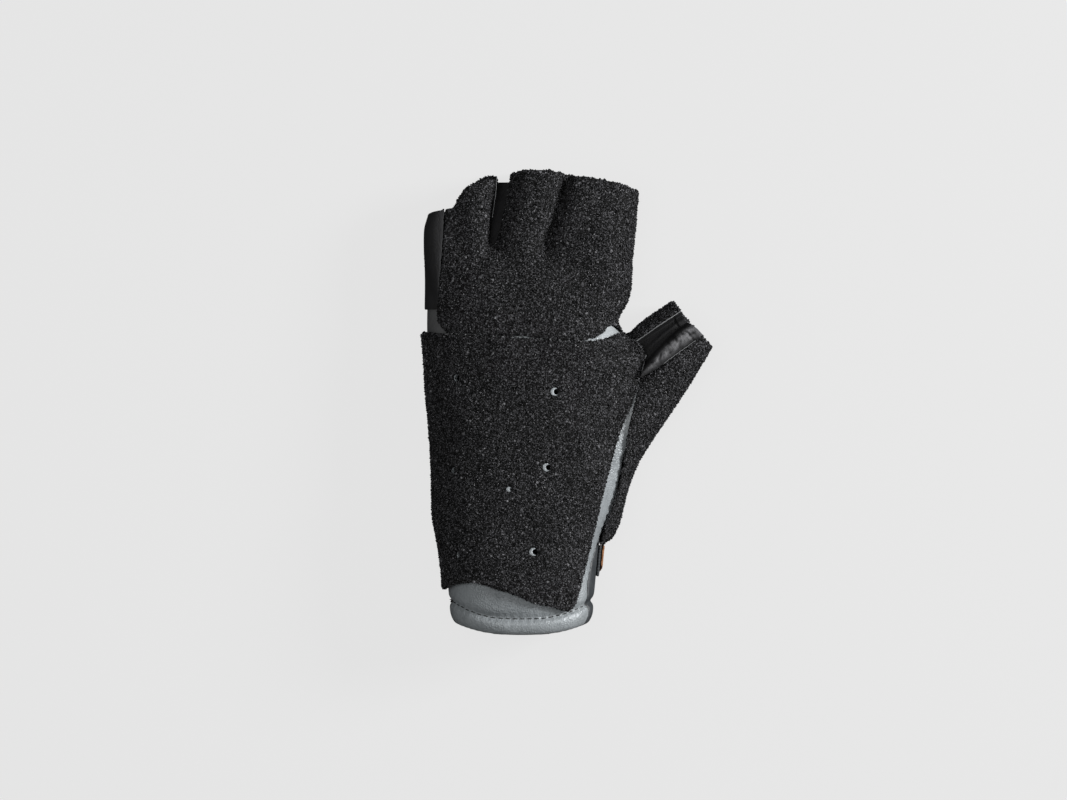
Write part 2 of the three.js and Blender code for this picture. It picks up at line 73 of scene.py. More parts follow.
# fold is how deep the back is folded in, on the thumb alone
stallColumns = ("leftX", "leftY", "rightX", "rightY", "top", "mid", "bow", "inset", "fold")
stallRows = {
    "index": [
        (13.6, 164, 49.2, 162, 33, 14, 0, 1.5), (16, 184, 51.7, 183, 31, 14, 0, 0),
        (21.8, 200, 53, 197, 29.8, 14, 0.8, 0), (27, 217, 54.1, 211, 28.5, 14, 1.8, 0),
    ],
    "middle": [
        (-11, 164, 10.8, 164, 34, 14, 0, 1.5), (-9.4, 184, 12.9, 184, 30.7, 14, 0, 0),
        (-5.6, 200, 18.8, 200, 28.8, 14, 1, 0), (-2.4, 218.6, 22.4, 217.6, 27.2, 14, 2.6, 0),
    ],
    "ring": [
        (-28.4, 164, -18.4, 164, 33, 13.5, 0, 1.5), (-27.6, 182, -17, 184, 30, 13.5, 0, 0),
        (-27.8, 193, -15.9, 199, 29, 13.5, 2, 0), (-27.6, 204.5, -11.6, 216.8, 27, 13.5, 5.6, 0),
    ],
    "little": [
        (-43.2, 162, -32, 162, 29.5, 13, 0, 1.5), (-43.8, 180, -30.8, 181, 27, 13, 0, 0),
        (-43.6, 192, -30.9, 193, 25.5, 13, 0.4, 0), (-41.4, 199.8, -31, 200.6, 24, 13, 1.2, 0),
    ],
    "thumb": [
        (12, 54, 41.2, 44.4, 27, 14, 0, 0.4, 0), (14.2, 62, 45.4, 53.2, 28.2, 14, 0, 0.2, 0),
        (18, 76, 48.4, 66.5, 30, 14, 0, 0, 0), (25, 95, 54.4, 82.5, 31, 14, 0, 0, 0),
        (35, 116, 61.2, 93.5, 30, 14, 0, 0, 1), (47, 133, 70.4, 107, 28.5, 13.5, 0, 0, 4),
        (57.6, 145, 79.8, 121.2, 27, 13, 0, 0, 6), (74.2, 156.8, 90, 138.3, 25, 13, 0, 0, 4.5),
    ],
}

backs = {  # how square the backs are, left and right of their middles: 2 is an ellipse
    "hand": (2.3, 2.3),
    "index": (6.0, 2.5),
    "middle": (2.6, 2.1),
    "ring": (2.6, 3.2),
    "little": (2.6, 2.6),
    "thumb": (2.2, 2.2),
}
formShape = {
    "palm": 3.0,
    "flatness": 1.1,  # above 1, the underside is pressed flat on the table
    "bowPower": 2.5,
    "hemWall": 4.2,
    "reach": 6.0,  # an open form runs on past its ends by this much
    "foldPlace": -0.18,
    "foldWidth": 0.24,
    "ringStep": 1.5,
    "sides": 120,
    "voxel": 0.8,
    "hemEnd": 34,
    "blend": 16,
}


def smoothstep(x, low, high):
    t = np.clip((x - low) / (high - low), 0, 1)
    return t * t * (3 - 2 * t)


def hermite(first, second, firstSlope, secondSlope, width, t):
    return (
        first * (1 + 2 * t) * (1 - t) ** 2
        + second * t * t * (3 - 2 * t)
        + width * (firstSlope * t * (1 - t) ** 2 - secondSlope * t * t * (1 - t))
    )


def through(x, y, at):
    # a smooth curve through the rows that never swings past them
    width = np.diff(x)
    rise = np.diff(y) / width
    slope = np.zeros(len(x))
    slope[0], slope[-1] = rise[0], rise[-1]
    first, second = 2 * width[1:] + width[:-1], width[1:] + 2 * width[:-1]
    same = rise[:-1] * rise[1:] > 0
    safe = np.where(same, rise[:-1], 1), np.where(same, rise[1:], 1)
    slope[1:-1] = np.where(same, (first + second) / (first / safe[0] + second / safe[1]), 0)
    i = np.clip(np.searchsorted(x, at, side="right") - 1, 0, len(width) - 1)
    return hermite(y[i], y[i + 1], slope[i], slope[i + 1], width[i], (at - x[i]) / width[i])


def formOf(columns, rows, back, closedEnd=False):
    table = {name: np.array(column, float) for name, column in zip(columns, zip(*rows))}
    if "y" in table:
        table["leftY"] = table["rightY"] = table.pop("y")
    for name in ("hem", "fold"):
        table.setdefault(name, np.zeros(len(rows)))
    middleX = (table["leftX"] + table["rightX"]) / 2
    middleY = (table["leftY"] + table["rightY"]) / 2
    along = np.concatenate([[0], np.cumsum(np.hypot(np.diff(middleX), np.diff(middleY)))])
    count = max(2, round(along[-1] / formShape["ringStep"]))
    at = np.unique(np.concatenate([np.linspace(0, along[-1], count), along[:7] if closedEnd else []]))
    dense = {name: through(along, values, at) for name, values in table.items()}
    return {"rows": dense, "back": back, "closedEnd": closedEnd, "count": len(at)}


def ringOf(form, row, level, shift):
    r = {name: values[row] for name, values in form["rows"].items()}
    left, right = np.array([r["leftX"], r["leftY"]]), np.array([r["rightX"], r["rightY"]])
    across = (right - left) / np.linalg.norm(right - left)
    ahead = np.array([-across[1], across[0]])
    grow = level - r["inset"]
    if level < 0:
        grow = (1 - r["hem"]) * grow - r["hem"] * formShape["hemWall"]
    half = np.linalg.norm(right - left) / 2 + grow
    rise = r["top"] + grow - r["mid"]
    floor = levels["rest"] - grow
    drop = (r["mid"] - floor) * formShape["flatness"]
    angle = 2 * math.pi * np.arange(formShape["sides"]) / formShape["sides"]
    upper = np.sin(angle) > 0
    back = np.where(np.cos(angle) < 0, *form["back"])
    power = 2 / np.where(upper, back, formShape["palm"])
    side = np.sign(np.cos(angle)) * np.abs(np.cos(angle)) ** power
    up = np.sign(np.sin(angle)) * np.abs(np.sin(angle)) ** power
    dent = upper * r["fold"] * np.exp(-(((side - formShape["foldPlace"]) / formShape["foldWidth"]) ** 2))
    z = np.where(upper, r["mid"] + rise * up - dent, np.maximum(r["mid"] + drop * up, floor))
    bulge = r["bow"] * (1 - np.abs(side) ** formShape["bowPower"]) + shift
    spot = (left + right)[None] / 2 + side[:, None] * half * across + bulge[:, None] * ahead
    return np.column_stack([spot, z])


def meshOf(points, faces, name="work"):
    mesh = bpy.data.meshes.new(name)
    mesh.from_pydata([tuple(p) for p in np.asarray(points, float)], [], faces)
    mesh.update()
    return mesh


def loft(rings):
    # a closed solid through rings that all have the same number of points
    sides, count = len(rings[0]), len(rings)
    points = np.concatenate([*rings, rings[0].mean(0)[None], rings[-1].mean(0)[None]])
    first, last = sides * count, sides * count + 1
    faces = []
    for i in range(sides):
        j = (i + 1) % sides
        faces.append((first, i, j))
        faces.append((last, (count - 1) * sides + j, (count - 1) * sides + i))
        faces.extend(
            (k * sides + i, (k + 1) * sides + i, (k + 1) * sides + j, k * sides + j) for k in range(count - 1)
        )
    return meshOf(points, faces)


def formAt(form, level, openStart=False, openEnd=False):
    rings = [ringOf(form, row, level, 0) for row in range(form["count"])]
    if form["closedEnd"]:
        rings[-1] = ringOf(form, form["count"] - 1, level, level)
    if openEnd:
        rings.append(ringOf(form, form["count"] - 1, level, formShape["reach"]))
    if openStart:
        rings.insert(0, ringOf(form, 0, level, -formShape["reach"]))
    return loft(rings)


handForm = formOf(handColumns, handRows, backs["hand"], closedEnd=True)
stallForms = {name: formOf(stallColumns, rows, backs[name]) for name, rows in stallRows.items()}


# Working with solids.


def numbersOf(items, name, each, kind=np.int32):
    numbers = np.empty(len(items) * each, kind)
    items.foreach_get(name, numbers)
    return numbers.reshape(-1, each)


def pointsOf(mesh):
    return numbersOf(mesh.vertices, "co", 3, np.float32).astype(float)


def setPoints(mesh, points):
    mesh.vertices.foreach_set("co", np.ascontiguousarray(points, np.float32).ravel())
    mesh.update()


def inScene(name, data):
    made = bpy.data.objects.new(name, data)
    bpy.context.scene.collection.objects.link(made)
    return made


def meshMade(holder, *tools):
    # the mesh that an object's modifiers make, after which the object is removed
    graph = bpy.context.evaluated_depsgraph_get()
    made = bpy.data.meshes.new_from_object(holder.evaluated_get(graph), depsgraph=graph)
    for o in (holder, *tools):
        bpy.data.objects.remove(o)
    return made


operations = {"join": "UNION", "keep": "INTERSECT", "cut": "DIFFERENCE"}


def combine(base, steps, voxel=0):
    # joins, keeps or cuts with other closed meshes, then evens the faces out if a voxel size is given
    holder = inScene("holder", base)
    tools = [inScene(f"tool{k}", tool) for k, (_, tool) in enumerate(steps)]
    for (step, _), tool in zip(steps, tools):
        modifier = holder.modifiers.new(step, "BOOLEAN")
        modifier.solver, modifier.operation, modifier.object = "MANIFOLD", operations[step], tool
    if voxel:
        modifier = holder.modifiers.new("even", "REMESH")
        modifier.mode, modifier.voxel_size, modifier.adaptivity = "VOXEL", voxel, 0
    return meshMade(holder, *tools)


def signedVolume(mesh):
    mesh.calc_loop_triangles()
    a, b, c = pointsOf(mesh)[numbersOf(mesh.loop_triangles, "vertices", 3)].transpose(1, 0, 2)
    return float((a * np.cross(b, c)).sum() / 6)


def relax(mesh, times, weight=None):
    points = pointsOf(mesh)
    a, b = numbersOf(mesh.edges, "vertices", 2).T
    n = len(points)
    degree = np.maximum(np.bincount(a, minlength=n) + np.bincount(b, minlength=n), 1)
    share = 0.5 if weight is None else 0.5 * weight(points)[:, None]
    for _ in range(times):
        mean = np.column_stack(
            [(np.bincount(a, points[b, k], n) + np.bincount(b, points[a, k], n)) / degree for k in range(3)]
        )
        points += (mean - points) * share
    setPoints(mesh, points)
    return mesh


def mainBody(mesh):
    # drops the crumbs that a cut can leave at a corner
    a, b = numbersOf(mesh.edges, "vertices", 2).T
    label = np.arange(len(mesh.vertices))
    while True:
        low = np.minimum(label[a], label[b])
        new = label.copy()
        np.minimum.at(new, a, low)
        np.minimum.at(new, b, low)
        new = new[new]
        if (new == label).all():
            break
        label = new
    names, counts = np.unique(label, return_counts=True)
    if len(names) == 1:
        return mesh
    keep = label == names[counts.argmax()]
    renumber = np.cumsum(keep) - 1
    faces = [[int(renumber[v]) for v in p.vertices] for p in mesh.polygons if keep[p.vertices[0]]]
    return meshOf(pointsOf(mesh)[keep], faces)


def smoothLine(points, step=1.0):
    # an even, rounded line through the given spots
    p = np.array(points, float)
    along = np.concatenate([[0], np.cumsum(np.linalg.norm(np.diff(p, axis=0), axis=1))])
    at = np.linspace(0, along[-1], max(2, round(along[-1] / step) + 1))
    tangent = np.gradient(p, along, axis=0)
    i = np.clip(np.searchsorted(along, at, side="right") - 1, 0, len(p) - 2)
    width = (along[i + 1] - along[i])[:, None]
    return hermite(p[i], p[i + 1], tangent[i], tangent[i + 1], width, ((at - along[i]) / width[:, 0])[:, None])


def block(outline, low, high):
    # an upright block with a plan outline
    outline = np.array(outline, float)
    area = np.sum(outline[:, 0] * np.roll(outline[:, 1], -1) - np.roll(outline[:, 0], -1) * outline[:, 1])
    if area < 0:
        outline = outline[::-1]
    n = len(outline)
    points = [(*p, low) for p in outline] + [(*p, high) for p in outline]
    faces = [tuple(range(n - 1, -1, -1)), tuple(range(n, 2 * n))]
    faces += [(i, (i + 1) % n, n + (i + 1) % n, n + i) for i in range(n)]
    return meshOf(points, faces)


def rectangle(x0, y0, x1, y1):
    return [(x0, y0), (x1, y0), (x1, y1), (x0, y1)]


def stripAlong(line, halfWidth, low, high):
    line = np.array(line, float)
    along = np.gradient(line, axis=0)
    along /= np.linalg.norm(along, axis=1)[:, None]
    sideways = np.column_stack([-along[:, 1], along[:, 0]]) * halfWidth
    return block(np.concatenate([line + sideways, (line - sideways)[::-1]]), low, high)


def softBlend(points):
    # the hem keeps its crisp rows, and the rest is blended softly where the forms meet
    return np.clip((points[:, 1] - formShape["hemEnd"]) / formShape["blend"], 0, 1)


def wholeAt(level, openStart=True, openEnd=True, soft=14):
    # the whole hand at a level: the hand, its four finger stalls and the thumb
    hand = formAt(handForm, level, openStart=openStart)
    steps = [("join", formAt(form, level, openEnd=openEnd)) for form in stallForms.values()]
    made = combine(hand, steps, formShape["voxel"] if soft else 0)
    return relax(made, soft, softBlend) if soft else made


def treeOfFaces(mesh):
    return BVHTree.FromPolygons([tuple(p) for p in pointsOf(mesh)], [tuple(p.vertices) for p in mesh.polygons])


def heightOn(tree, x, y):
    hit = tree.ray_cast((x, y, 90), (0, 0, -1))[0]
    return (hit or tree.find_nearest((x, y, 40))[0]).z


bridge = {
    "leftX": -36.5, "rightX": -19.5, "start": 158.0, "end": 202.2, "foot": 20.0, "sunk": 0.3, "crown": 0.7,
    "spare": 5, "rings": 12, "short": 2,
}


def bridged(mesh, end, lift):
    # the rubber runs straight over the valley between the little and the ring finger
    tree = treeOfFaces(mesh)
    left, right = bridge["leftX"], bridge["rightX"]
    rings = []
    for y in np.linspace(bridge["start"], end, bridge["rings"]):
        at = min(y, bridge["end"] - bridge["short"])
        a, b = (heightOn(tree, x, at) - bridge["sunk"] + lift for x in (left, right))
        middle = (a + b) / 2 + bridge["crown"]
        ring = [(left, y, bridge["foot"]), (right, y, bridge["foot"]), (right, y, b), ((left + right) / 2, y, middle)]
        rings.append(np.array([*ring, (left, y, a)], float))
    return combine(mesh, [("join", loft(rings[::-1]))])


crumbRise = 0.35  # the crumbs stand this far out of their panel
hollow = wholeAt(levels["lining"])
leatherOuter = wholeAt(levels["leather"], openStart=False)
core = wholeAt(levels["core"])
sideOuter = wholeAt(levels["side"])
gripOuter = bridged(wholeAt(levels["grip"] - crumbRise), bridge["end"] + bridge["spare"], 0)
padOuter = wholeAt(levels["pad"] - crumbRise)
trim = bridged(wholeAt(levels["grip"] + 1.5, openStart=False, openEnd=False, soft=0), bridge["end"], 1.5)
coreTree = treeOfFaces(core)
report("hand forms at every level")

# Outlines of the panels, seen from above.

padTopEdge = [(-54, 143.4), (-30, 142.6), (0, 140.6), (24, 139.2), (38, 139.6), (48.5, 143.6)]
padRightEdge = [
    (50.5, 141), (55.2, 139), (58.2, 135.8), (59.2, 131.5), (57, 122), (54.3, 113.5), (51.3, 105.4), (48.9, 99.8),
    (45.1, 88.3), (42.2, 78), (35.1, 49), (28, 20.5), (26.4, 14.6),
]
padFreeEdge = [
    (22.8, 11), (14, 13.8), (5.7, 15.7), (-1, 18.7), (-10.5, 21.9), (-22, 25), (-31, 23.8), (-35, 22), (-54, 17),
]
thumbGripEdge = [
    (57.4, 124), (56.2, 118), (55, 113.5), (53.1, 105.4), (51.7, 99.8), (49.9, 88), (47.3, 73.4), (43.5, 60),
    (38.9, 45.8), (38.2, 42.6),
]
gussetLeftEdge = [(40, 128), (55.6, 139.4), (66, 146.6), (76.6, 153.6), (82, 157.4)]
gussetRightEdge = [(90, 144.4), (83.1, 139.4), (72, 131.4), (63.6, 125.2), (58.6, 122.4), (54, 119.6)]
fingerGripEdge = [
    (-39.4, 154.2), (-39.4, 149.6), (-36.2, 144.2), (0, 141.2), (33, 139.9), (38.6, 142), (41.4, 144.9),
    (43.1, 146.3), (44.6, 146.6), (46.3, 145.7), (47.5, 144.4), (48.9, 142.9), (50.6, 145.6), (53.5, 150.5),
]
littleSeam = [(-39.4, 154.2), (-37.8, 170), (-36.8, 184), (-35.9, 200), (-35.6, 210)]
palmThumbSeam = [
    (76, 240), (61, 172), (54.2, 152), (48.6, 148), (46.5, 141), (45.6, 128), (43, 108), (40.5, 84), (38.5, 62),
    (37.5, 42.6),
]
slits = {
    "fourchette_little_ring": {"foot": (-29.2, 180), "end": (-29.2, 212), "half": 3.4, "low": 7, "high": 17},
    "fourchette_ring_middle": {"foot": (-13.4, 180), "end": (-7.2, 226), "half": 6.0, "low": 7, "high": 17.5},
    "fourchette_middle_index": {"foot": (13.4, 180), "end": (24.8, 222), "half": 3.4, "low": 7, "high": 18},
}
web = {
    "footY": 181, "endY": 214.8, "footHalf": 4, "endHalf": 5.4, "low": 15.5, "high": 16.9, "slope": 4.5, "climb": 6.5,
}
seamRows = [
    (-20, 12, 34.3), (14.2, 12, 34.3), (15.6, 12, 35.6), (24, 12, 35.6), (30, 12, 34.4), (35, 12, 32.6), (45, 12, 27),
    (55, 12, 20), (90, 12, 14), (240, 12, 14),
]
seam = {
    "gap": 0.1, "gripZ": 12.0, "low": -10.0, "high": 80.0, "backY": 158.0, "palmY": 58.0, "leftX": -45, "rightX": 30,
    "far": 120,
}
halfGap = seam["gap"] / 2


def aboveSeam(upper):
    left, right, far = seam["leftX"], seam["rightX"], seam["far"]
    gap = halfGap if upper else -halfGap
    rings = []
    for y, leftZ, rightZ in seamRows:
        edge = [(-far, y, leftZ + gap), (left, y, leftZ + gap), (right, y, rightZ + gap), (far, y, rightZ + gap)]
        ring = [*edge, (far, y, far), (-far, y, far)] if upper else [(-far, y, -far), (far, y, -far), *edge[::-1]]
        rings.append(np.array(ring, float))
    return loft(rings)


def seamAlong(line, low):
    return stripAlong(line, halfGap, low, seam["high"])


def slitBlock(slit, gap):
    ends = [(slit["foot"][0], slit["foot"][1] - gap), slit["end"]]
    return stripAlong(ends, slit["half"] + gap, slit["low"] - gap, slit["high"] + gap)


def littleSideBlock(gap):
    line = [(x + gap, y - gap) for x, y in littleSeam]
    outline = [(-70, littleSeam[0][1] - gap), *line, (-70, 210)]
    return block(outline, seam["gripZ"] - 5 - gap, seam["high"])


padLine = [*smoothLine(padTopEdge), *smoothLine(padRightEdge), *smoothLine(padFreeEdge)]
gussetLeft, gussetRight = smoothLine(gussetLeftEdge), smoothLine(gussetRightEdge)
gussetLine = [*gussetLeft, *gussetRight]
thumbSeam = smoothLine(palmThumbSeam)
low, high, gripZ = seam["low"], seam["high"], seam["gripZ"]


def padRoom():
    return combine(block(padLine, gripZ, high), [("join", seamAlong([*padLine, padLine[0]], gripZ))])


def gussetRoom():
    steps = [("join", seamAlong(gussetLeft, gripZ)), ("join", seamAlong(gussetRight, gripZ))]
    return combine(block(gussetLine, gripZ, high), steps)


# Finishing: crumbs, stitches and threads by geometry nodes, then one plain mesh in the frame.


socketKinds = {float: "NodeSocketFloat", int: "NodeSocketInt", type(None): "NodeSocketMaterial"}


def treeOf(name, shape, **values):
    # a geometry tree with named inputs: a shape, then numbers with their usual values, and a material
    tree = bpy.data.node_groups.new(name, "GeometryNodeTree")
    for label, side in (("Shape", "OUTPUT"), (shape, "INPUT")):
        tree.interface.new_socket(name=label, in_out=side, socket_type="NodeSocketGeometry")
    for label, value in values.items():
        socket = tree.interface.new_socket(name=label, in_out="INPUT", socket_type=socketKinds[type(value)])
        if value is not None:
            socket.default_value = value
    return tree, tree.nodes.new("NodeGroupInput").outputs


def setSocket(tree, socket, value):
    # a node that is given as a value stands for its first output in use
    if isinstance(value, bpy.types.Node):
        value = next(output for output in value.outputs if output.enabled)
    if isinstance(value, bpy.types.NodeSocket):
        tree.links.new(value, socket)
    else:
        socket.default_value = value


def feed(tree, made, **inputs):
    # inputs go by name, or by place as in0 and in1
    for name, value in inputs.items():
        byPlace = name[:2] == "in" and name[2:].isdigit()
        setSocket(tree, made.inputs[int(name[2:]) if byPlace else name.replace("_", " ")], value)
    return made


def node(tree, kind, settings=None, **inputs):
    # a kind without its family name is of the tree's own family
    own = not kind.startswith(("Function", "Shader"))
    made = tree.nodes.new(tree.bl_idname.removesuffix("Tree") + kind if own else kind)
    for name, value in (settings or {}).items():
        setattr(made, name, value)
    return feed(tree, made, **inputs)


def putOut(tree, *values):
    feed(tree, tree.nodes.new("NodeGroupOutput"), **{f"in{k}": value for k, value in enumerate(values)})
    return tree


def maths(tree, operation, a, b=0.5):
    return node(tree, "ShaderNodeMath", {"operation": operation}, in0=a, in1=b)


def randomOf(tree, kind, seed, least, most):
    made = node(tree, "FunctionNodeRandomValue", {"data_type": kind}, Seed=seed)
    limits = [socket for socket in made.inputs if socket.enabled and socket.name in ("Min", "Max")]
    for socket, value in zip(limits, (least, most)):
        setSocket(tree, socket, value)
    return made


def runTree(tree, mesh, **values):
    holder = inScene("holder", mesh)
    modifier = holder.modifiers.new("tree", "NODES")
    modifier.node_group = tree
    for item in tree.interface.items_tree:
        if item.item_type == "SOCKET" and item.in_out == "INPUT" and item.name in values:
            modifier[item.identifier] = values[item.name]
    return meshMade(holder)


crumbShape = {"turn": 6.283, "least": 0.65, "most": 1.2, "density": 7.0}


def crumbTree():
    # irregular shards, spread evenly over the marked part of a panel and sunk into it
    tree, given = treeOf("crumbs", "Panel", Spacing=0.85, Smallest=0.3, Largest=0.7, Seed=1, Finish=None)
    seed = given["Seed"]
    mask = node(tree, "InputNamedAttribute", {"data_type": "FLOAT"}, Name="crumbMask")
    spots = node(
        tree, "DistributePointsOnFaces", {"distribute_method": "POISSON"}, Mesh=given["Panel"],
        Distance_Min=given["Spacing"], Density_Max=crumbShape["density"], Density_Factor=mask, Seed=seed,
    )
    shards = node(tree, "JoinGeometry")
    for corners in (5, 4):
        shard = node(tree, "MeshUVSphere", Segments=corners, Rings=2, Radius=1.0)
        feed(tree, shards, in0=node(tree, "GeometryToInstance", in0=shard))
    turn = randomOf(tree, "FLOAT_VECTOR", seed, (0, 0, 0), [crumbShape["turn"]] * 3)
    shape = randomOf(tree, "FLOAT_VECTOR", seed, [crumbShape["least"]] * 3, [crumbShape["most"]] * 3)
    size = randomOf(tree, "FLOAT", seed, given["Smallest"], given["Largest"])
    sized = node(tree, "ShaderNodeVectorMath", {"operation": "SCALE"}, in0=shape, Scale=size)
    placed = node(
        tree, "InstanceOnPoints", Points=spots, Instance=shards, Pick_Instance=True,
        Instance_Index=randomOf(tree, "INT", seed, 0, 1), Rotation=turn, Scale=sized,
    )
    stored = {"data_type": "FLOAT", "domain": "INSTANCE"}
    tone = randomOf(tree, "FLOAT", seed, 0.0, 1.0)
    told = node(tree, "StoreNamedAttribute", stored, Geometry=placed, Name="crumbTone", Value=tone)
    real = node(tree, "RealizeInstances", Geometry=told)
    flat = node(tree, "SetShadeSmooth", Geometry=real, Shade_Smooth=False)
    return putOut(tree, node(tree, "SetMaterial", Geometry=flat, Material=given["Finish"]))


def stitchTree():
    # plump thread stitches along a line, one for each pitch
    tree, given = treeOf(
        "stitches", "Line", Pitch=3.7, Length=2.7, Thickness=0.5, Looseness=0.08, Seed=1, Finish=None,
    )
    curve = node(tree, "MeshToCurve", Mesh=given["Line"])
    even = node(tree, "ResampleCurve", {"mode": "LENGTH"}, Curve=curve, Length=given["Pitch"])
    turn = node(tree, "FunctionNodeAlignRotationToVector", {"axis": "Z"}, Vector=node(tree, "InputTangent"))
    halfLong = maths(tree, "MULTIPLY", given["Length"])
    halfWide = maths(tree, "MULTIPLY", given["Thickness"])
    least = maths(tree, "SUBTRACT", 1.0, given["Looseness"])
    longer = maths(tree, "MULTIPLY", halfLong, randomOf(tree, "FLOAT", given["Seed"], least, 1.0))
    size = node(tree, "ShaderNodeCombineXYZ", X=halfWide, Y=halfWide, Z=longer)
    bead = node(tree, "MeshUVSphere", Segments=8, Rings=5, Radius=1.0)
    placed = node(tree, "InstanceOnPoints", Points=even, Instance=bead, Rotation=turn, Scale=size)
    rounded = node(tree, "SetShadeSmooth", Geometry=node(tree, "RealizeInstances", Geometry=placed))
    return putOut(tree, node(tree, "SetMaterial", Geometry=rounded, Material=given["Finish"]))


def threadTree():
    # a thin, slightly uneven thread or raw edge that follows a line
    tree, given = treeOf("threadAlong", "Line", Step=0.6, Thickness=0.4, Fray=0.12, Finish=None)
    curve = node(tree, "MeshToCurve", Mesh=given["Line"])
    even = node(tree, "ResampleCurve", {"mode": "LENGTH"}, Curve=curve, Length=given["Step"])
    swirl = node(tree, "ShaderNodeTexNoise", {"noise_dimensions": "3D"}, Scale=0.9, Detail=2.0).outputs["Color"]
    centred = node(tree, "ShaderNodeVectorMath", {"operation": "SUBTRACT"}, in0=swirl, in1=(0.5, 0.5, 0.5))
    moved = node(tree, "ShaderNodeVectorMath", {"operation": "SCALE"}, in0=centred, Scale=given["Fray"])
    frayed = node(tree, "SetPosition", Geometry=even, Offset=moved)
    profile = node(tree, "CurvePrimitiveCircle", Resolution=6, Radius=maths(tree, "MULTIPLY", given["Thickness"]))
    tube = node(tree, "CurveToMesh", Curve=frayed, Profile_Curve=profile, Fill_Caps=True)
    return putOut(tree, node(tree, "SetMaterial", Geometry=tube, Material=given["Finish"]))


def lineMesh(points):
    mesh = bpy.data.meshes.new("line")
    mesh.from_pydata([tuple(map(float, p)) for p in points], [(i, i + 1) for i in range(len(points) - 1)], [])
    return mesh


# Finishes.


def shaderGroup(name, inputs, outputs):
    # an effect that several finishes share, worked out at a position in millimetres
    group = bpy.data.node_groups.new(name, "ShaderNodeTree")
    group.interface.new_socket(name="Position", in_out="INPUT", socket_type="NodeSocketVector")
    for label, value in inputs.items():
        group.interface.new_socket(name=label, in_out="INPUT", socket_type="NodeSocketFloat").default_value = value
    for label in outputs:
        group.interface.new_socket(name=label, in_out="OUTPUT", socket_type="NodeSocketFloat")
    return group, group.nodes.new("NodeGroupInput").outputs


def ramp(tree, value, low, high, toLow=0.0, toHigh=1.0):
    limits = {"From_Min": low, "From_Max": high, "To_Min": toLow, "To_Max": toHigh}
    return node(tree, "ShaderNodeMapRange", {"interpolation_type": "SMOOTHSTEP"}, Value=value, **limits)


def blendColour(tree, share, first, second):
    made = node(tree, "Mix", {"data_type": "RGBA"}, in0=share)
    for place, colour in ((6, first), (7, second)):
        setSocket(tree, made.inputs[place], (*colour, 1) if isinstance(colour, tuple) else colour)
    return made.outputs[2]


def leatherGrain():
    # pebbled grain with finer pores and long soft creases
    group, given = shaderGroup("leatherGrain", {"Pebble": 0.9, "Creasing": 0.5}, ("Height", "Creases", "Mottle"))
    spot = given["Position"]
    finer = maths(group, "DIVIDE", 1.0, given["Pebble"])
    pebbles = node(group, "TexVoronoi", {"feature": "SMOOTH_F1"}, Vector=spot, Scale=finer, Smoothness=0.4)
    pores = node(group, "TexNoise", Vector=spot, Scale=3.2, Detail=3.0)
    stretched = node(group, "Mapping", Vector=spot, Scale=(0.22, 0.07, 0.16))
    folds = node(group, "TexNoise", Vector=stretched, Scale=1.0, Detail=4.0, Distortion=1.6)
    ridge = maths(group, "ABSOLUTE", maths(group, "SUBTRACT", folds, 0.5))
    crease = ramp(group, ridge, 0.0, 0.05, 1.0, 0.0)
    mottle = node(group, "TexNoise", Vector=spot, Scale=0.11, Detail=5.0)
    rounded = ramp(group, pebbles, 0.1, 0.75, 1.0, 0.0)
    grain = maths(group, "ADD", maths(group, "MULTIPLY", rounded, 0.7), maths(group, "MULTIPLY", pores, 0.5))
    height = maths(group, "SUBTRACT", grain, maths(group, "MULTIPLY", crease, given["Creasing"]))
    return putOut(group, height, crease, mottle)


def crumbGrain():
    # torn faces on each shard, and a few pale grains that are painted glints
    group, given = shaderGroup("crumbGrain", {"Grains": 1.3, "Pale": 0.97}, ("Height", "GlintSpeck", "Chance"))
    spot = given["Position"]
    torn = node(group, "TexNoise", Vector=spot, Scale=2.4, Detail=4.0, Roughness=0.7)
    cells = node(group, "TexVoronoi", {"feature": "F1"}, Vector=spot, Scale=given["Grains"])
    lump = ramp(group, cells, 0.0, 0.8, 1.0, 0.0)
    chance = node(group, "SeparateColor", Color=cells.outputs["Color"])
    least = maths(group, "SUBTRACT", given["Pale"], 0.02)
    glintSpeck = node(group, "MapRange", Value=chance, From_Min=least, From_Max=given["Pale"])
    height = maths(group, "ADD", maths(group, "MULTIPLY", torn, 0.6), maths(group, "MULTIPLY", lump, 0.4))
    return putOut(group, height, glintSpeck, chance)


groups = {"leather": leatherGrain(), "crumb": crumbGrain()}


def newMaterial(name):
    material = bpy.data.materials.new(name)
    material.use_nodes = True
    tree = material.node_tree
    coordinates = tree.nodes.new("ShaderNodeTexCoord").outputs["Object"]
    millimetres = node(tree, "Mapping", Vector=coordinates, Scale=(1000, 1000, 1000))
    return material, tree, tree.nodes["Principled BSDF"], millimetres


def placed(tree, group, **inputs):
    return node(tree, "Group", {"node_tree": groups[group]}, **inputs).outputs


def bump(tree, height, strength, distance):
    return node(tree, "Bump", Strength=strength, Distance=distance, Height=height)


def leatherFinish(name, look):
    material, tree, shader, position = newMaterial(name)
    grain = placed(tree, "leather", Position=position, Pebble=look["pebble"], Creasing=look["creasing"])
    colour = blendColour(tree, grain["Mottle"], look["dark"], look["light"])
    # the creases are painted darker: painted shade
    colour = blendColour(tree, maths(tree, "MULTIPLY", grain["Creases"], look["creaseShadeShare"]), colour, look["crease"])
    for change in ("wearAndSheen", "paintedShade", "lining"):
        if change in look:
            share = node(tree, "Attribute", {"attribute_name": change + "Share"}).outputs["Fac"]
            colour = blendColour(tree, share, colour, look[change])
    feed(
        tree, shader, Base_Color=colour,
        Roughness=ramp(tree, grain["Mottle"], 0.3, 0.7, look["rough"] - 0.06, look["rough"] + 0.08),
        Metallic=look.get("metallic", 0.0), Specular_IOR_Level=look.get("specular", 0.5),
        Normal=bump(tree, grain["Height"], look["bump"], look.get("relief", 0.00025)),
    )
    return material


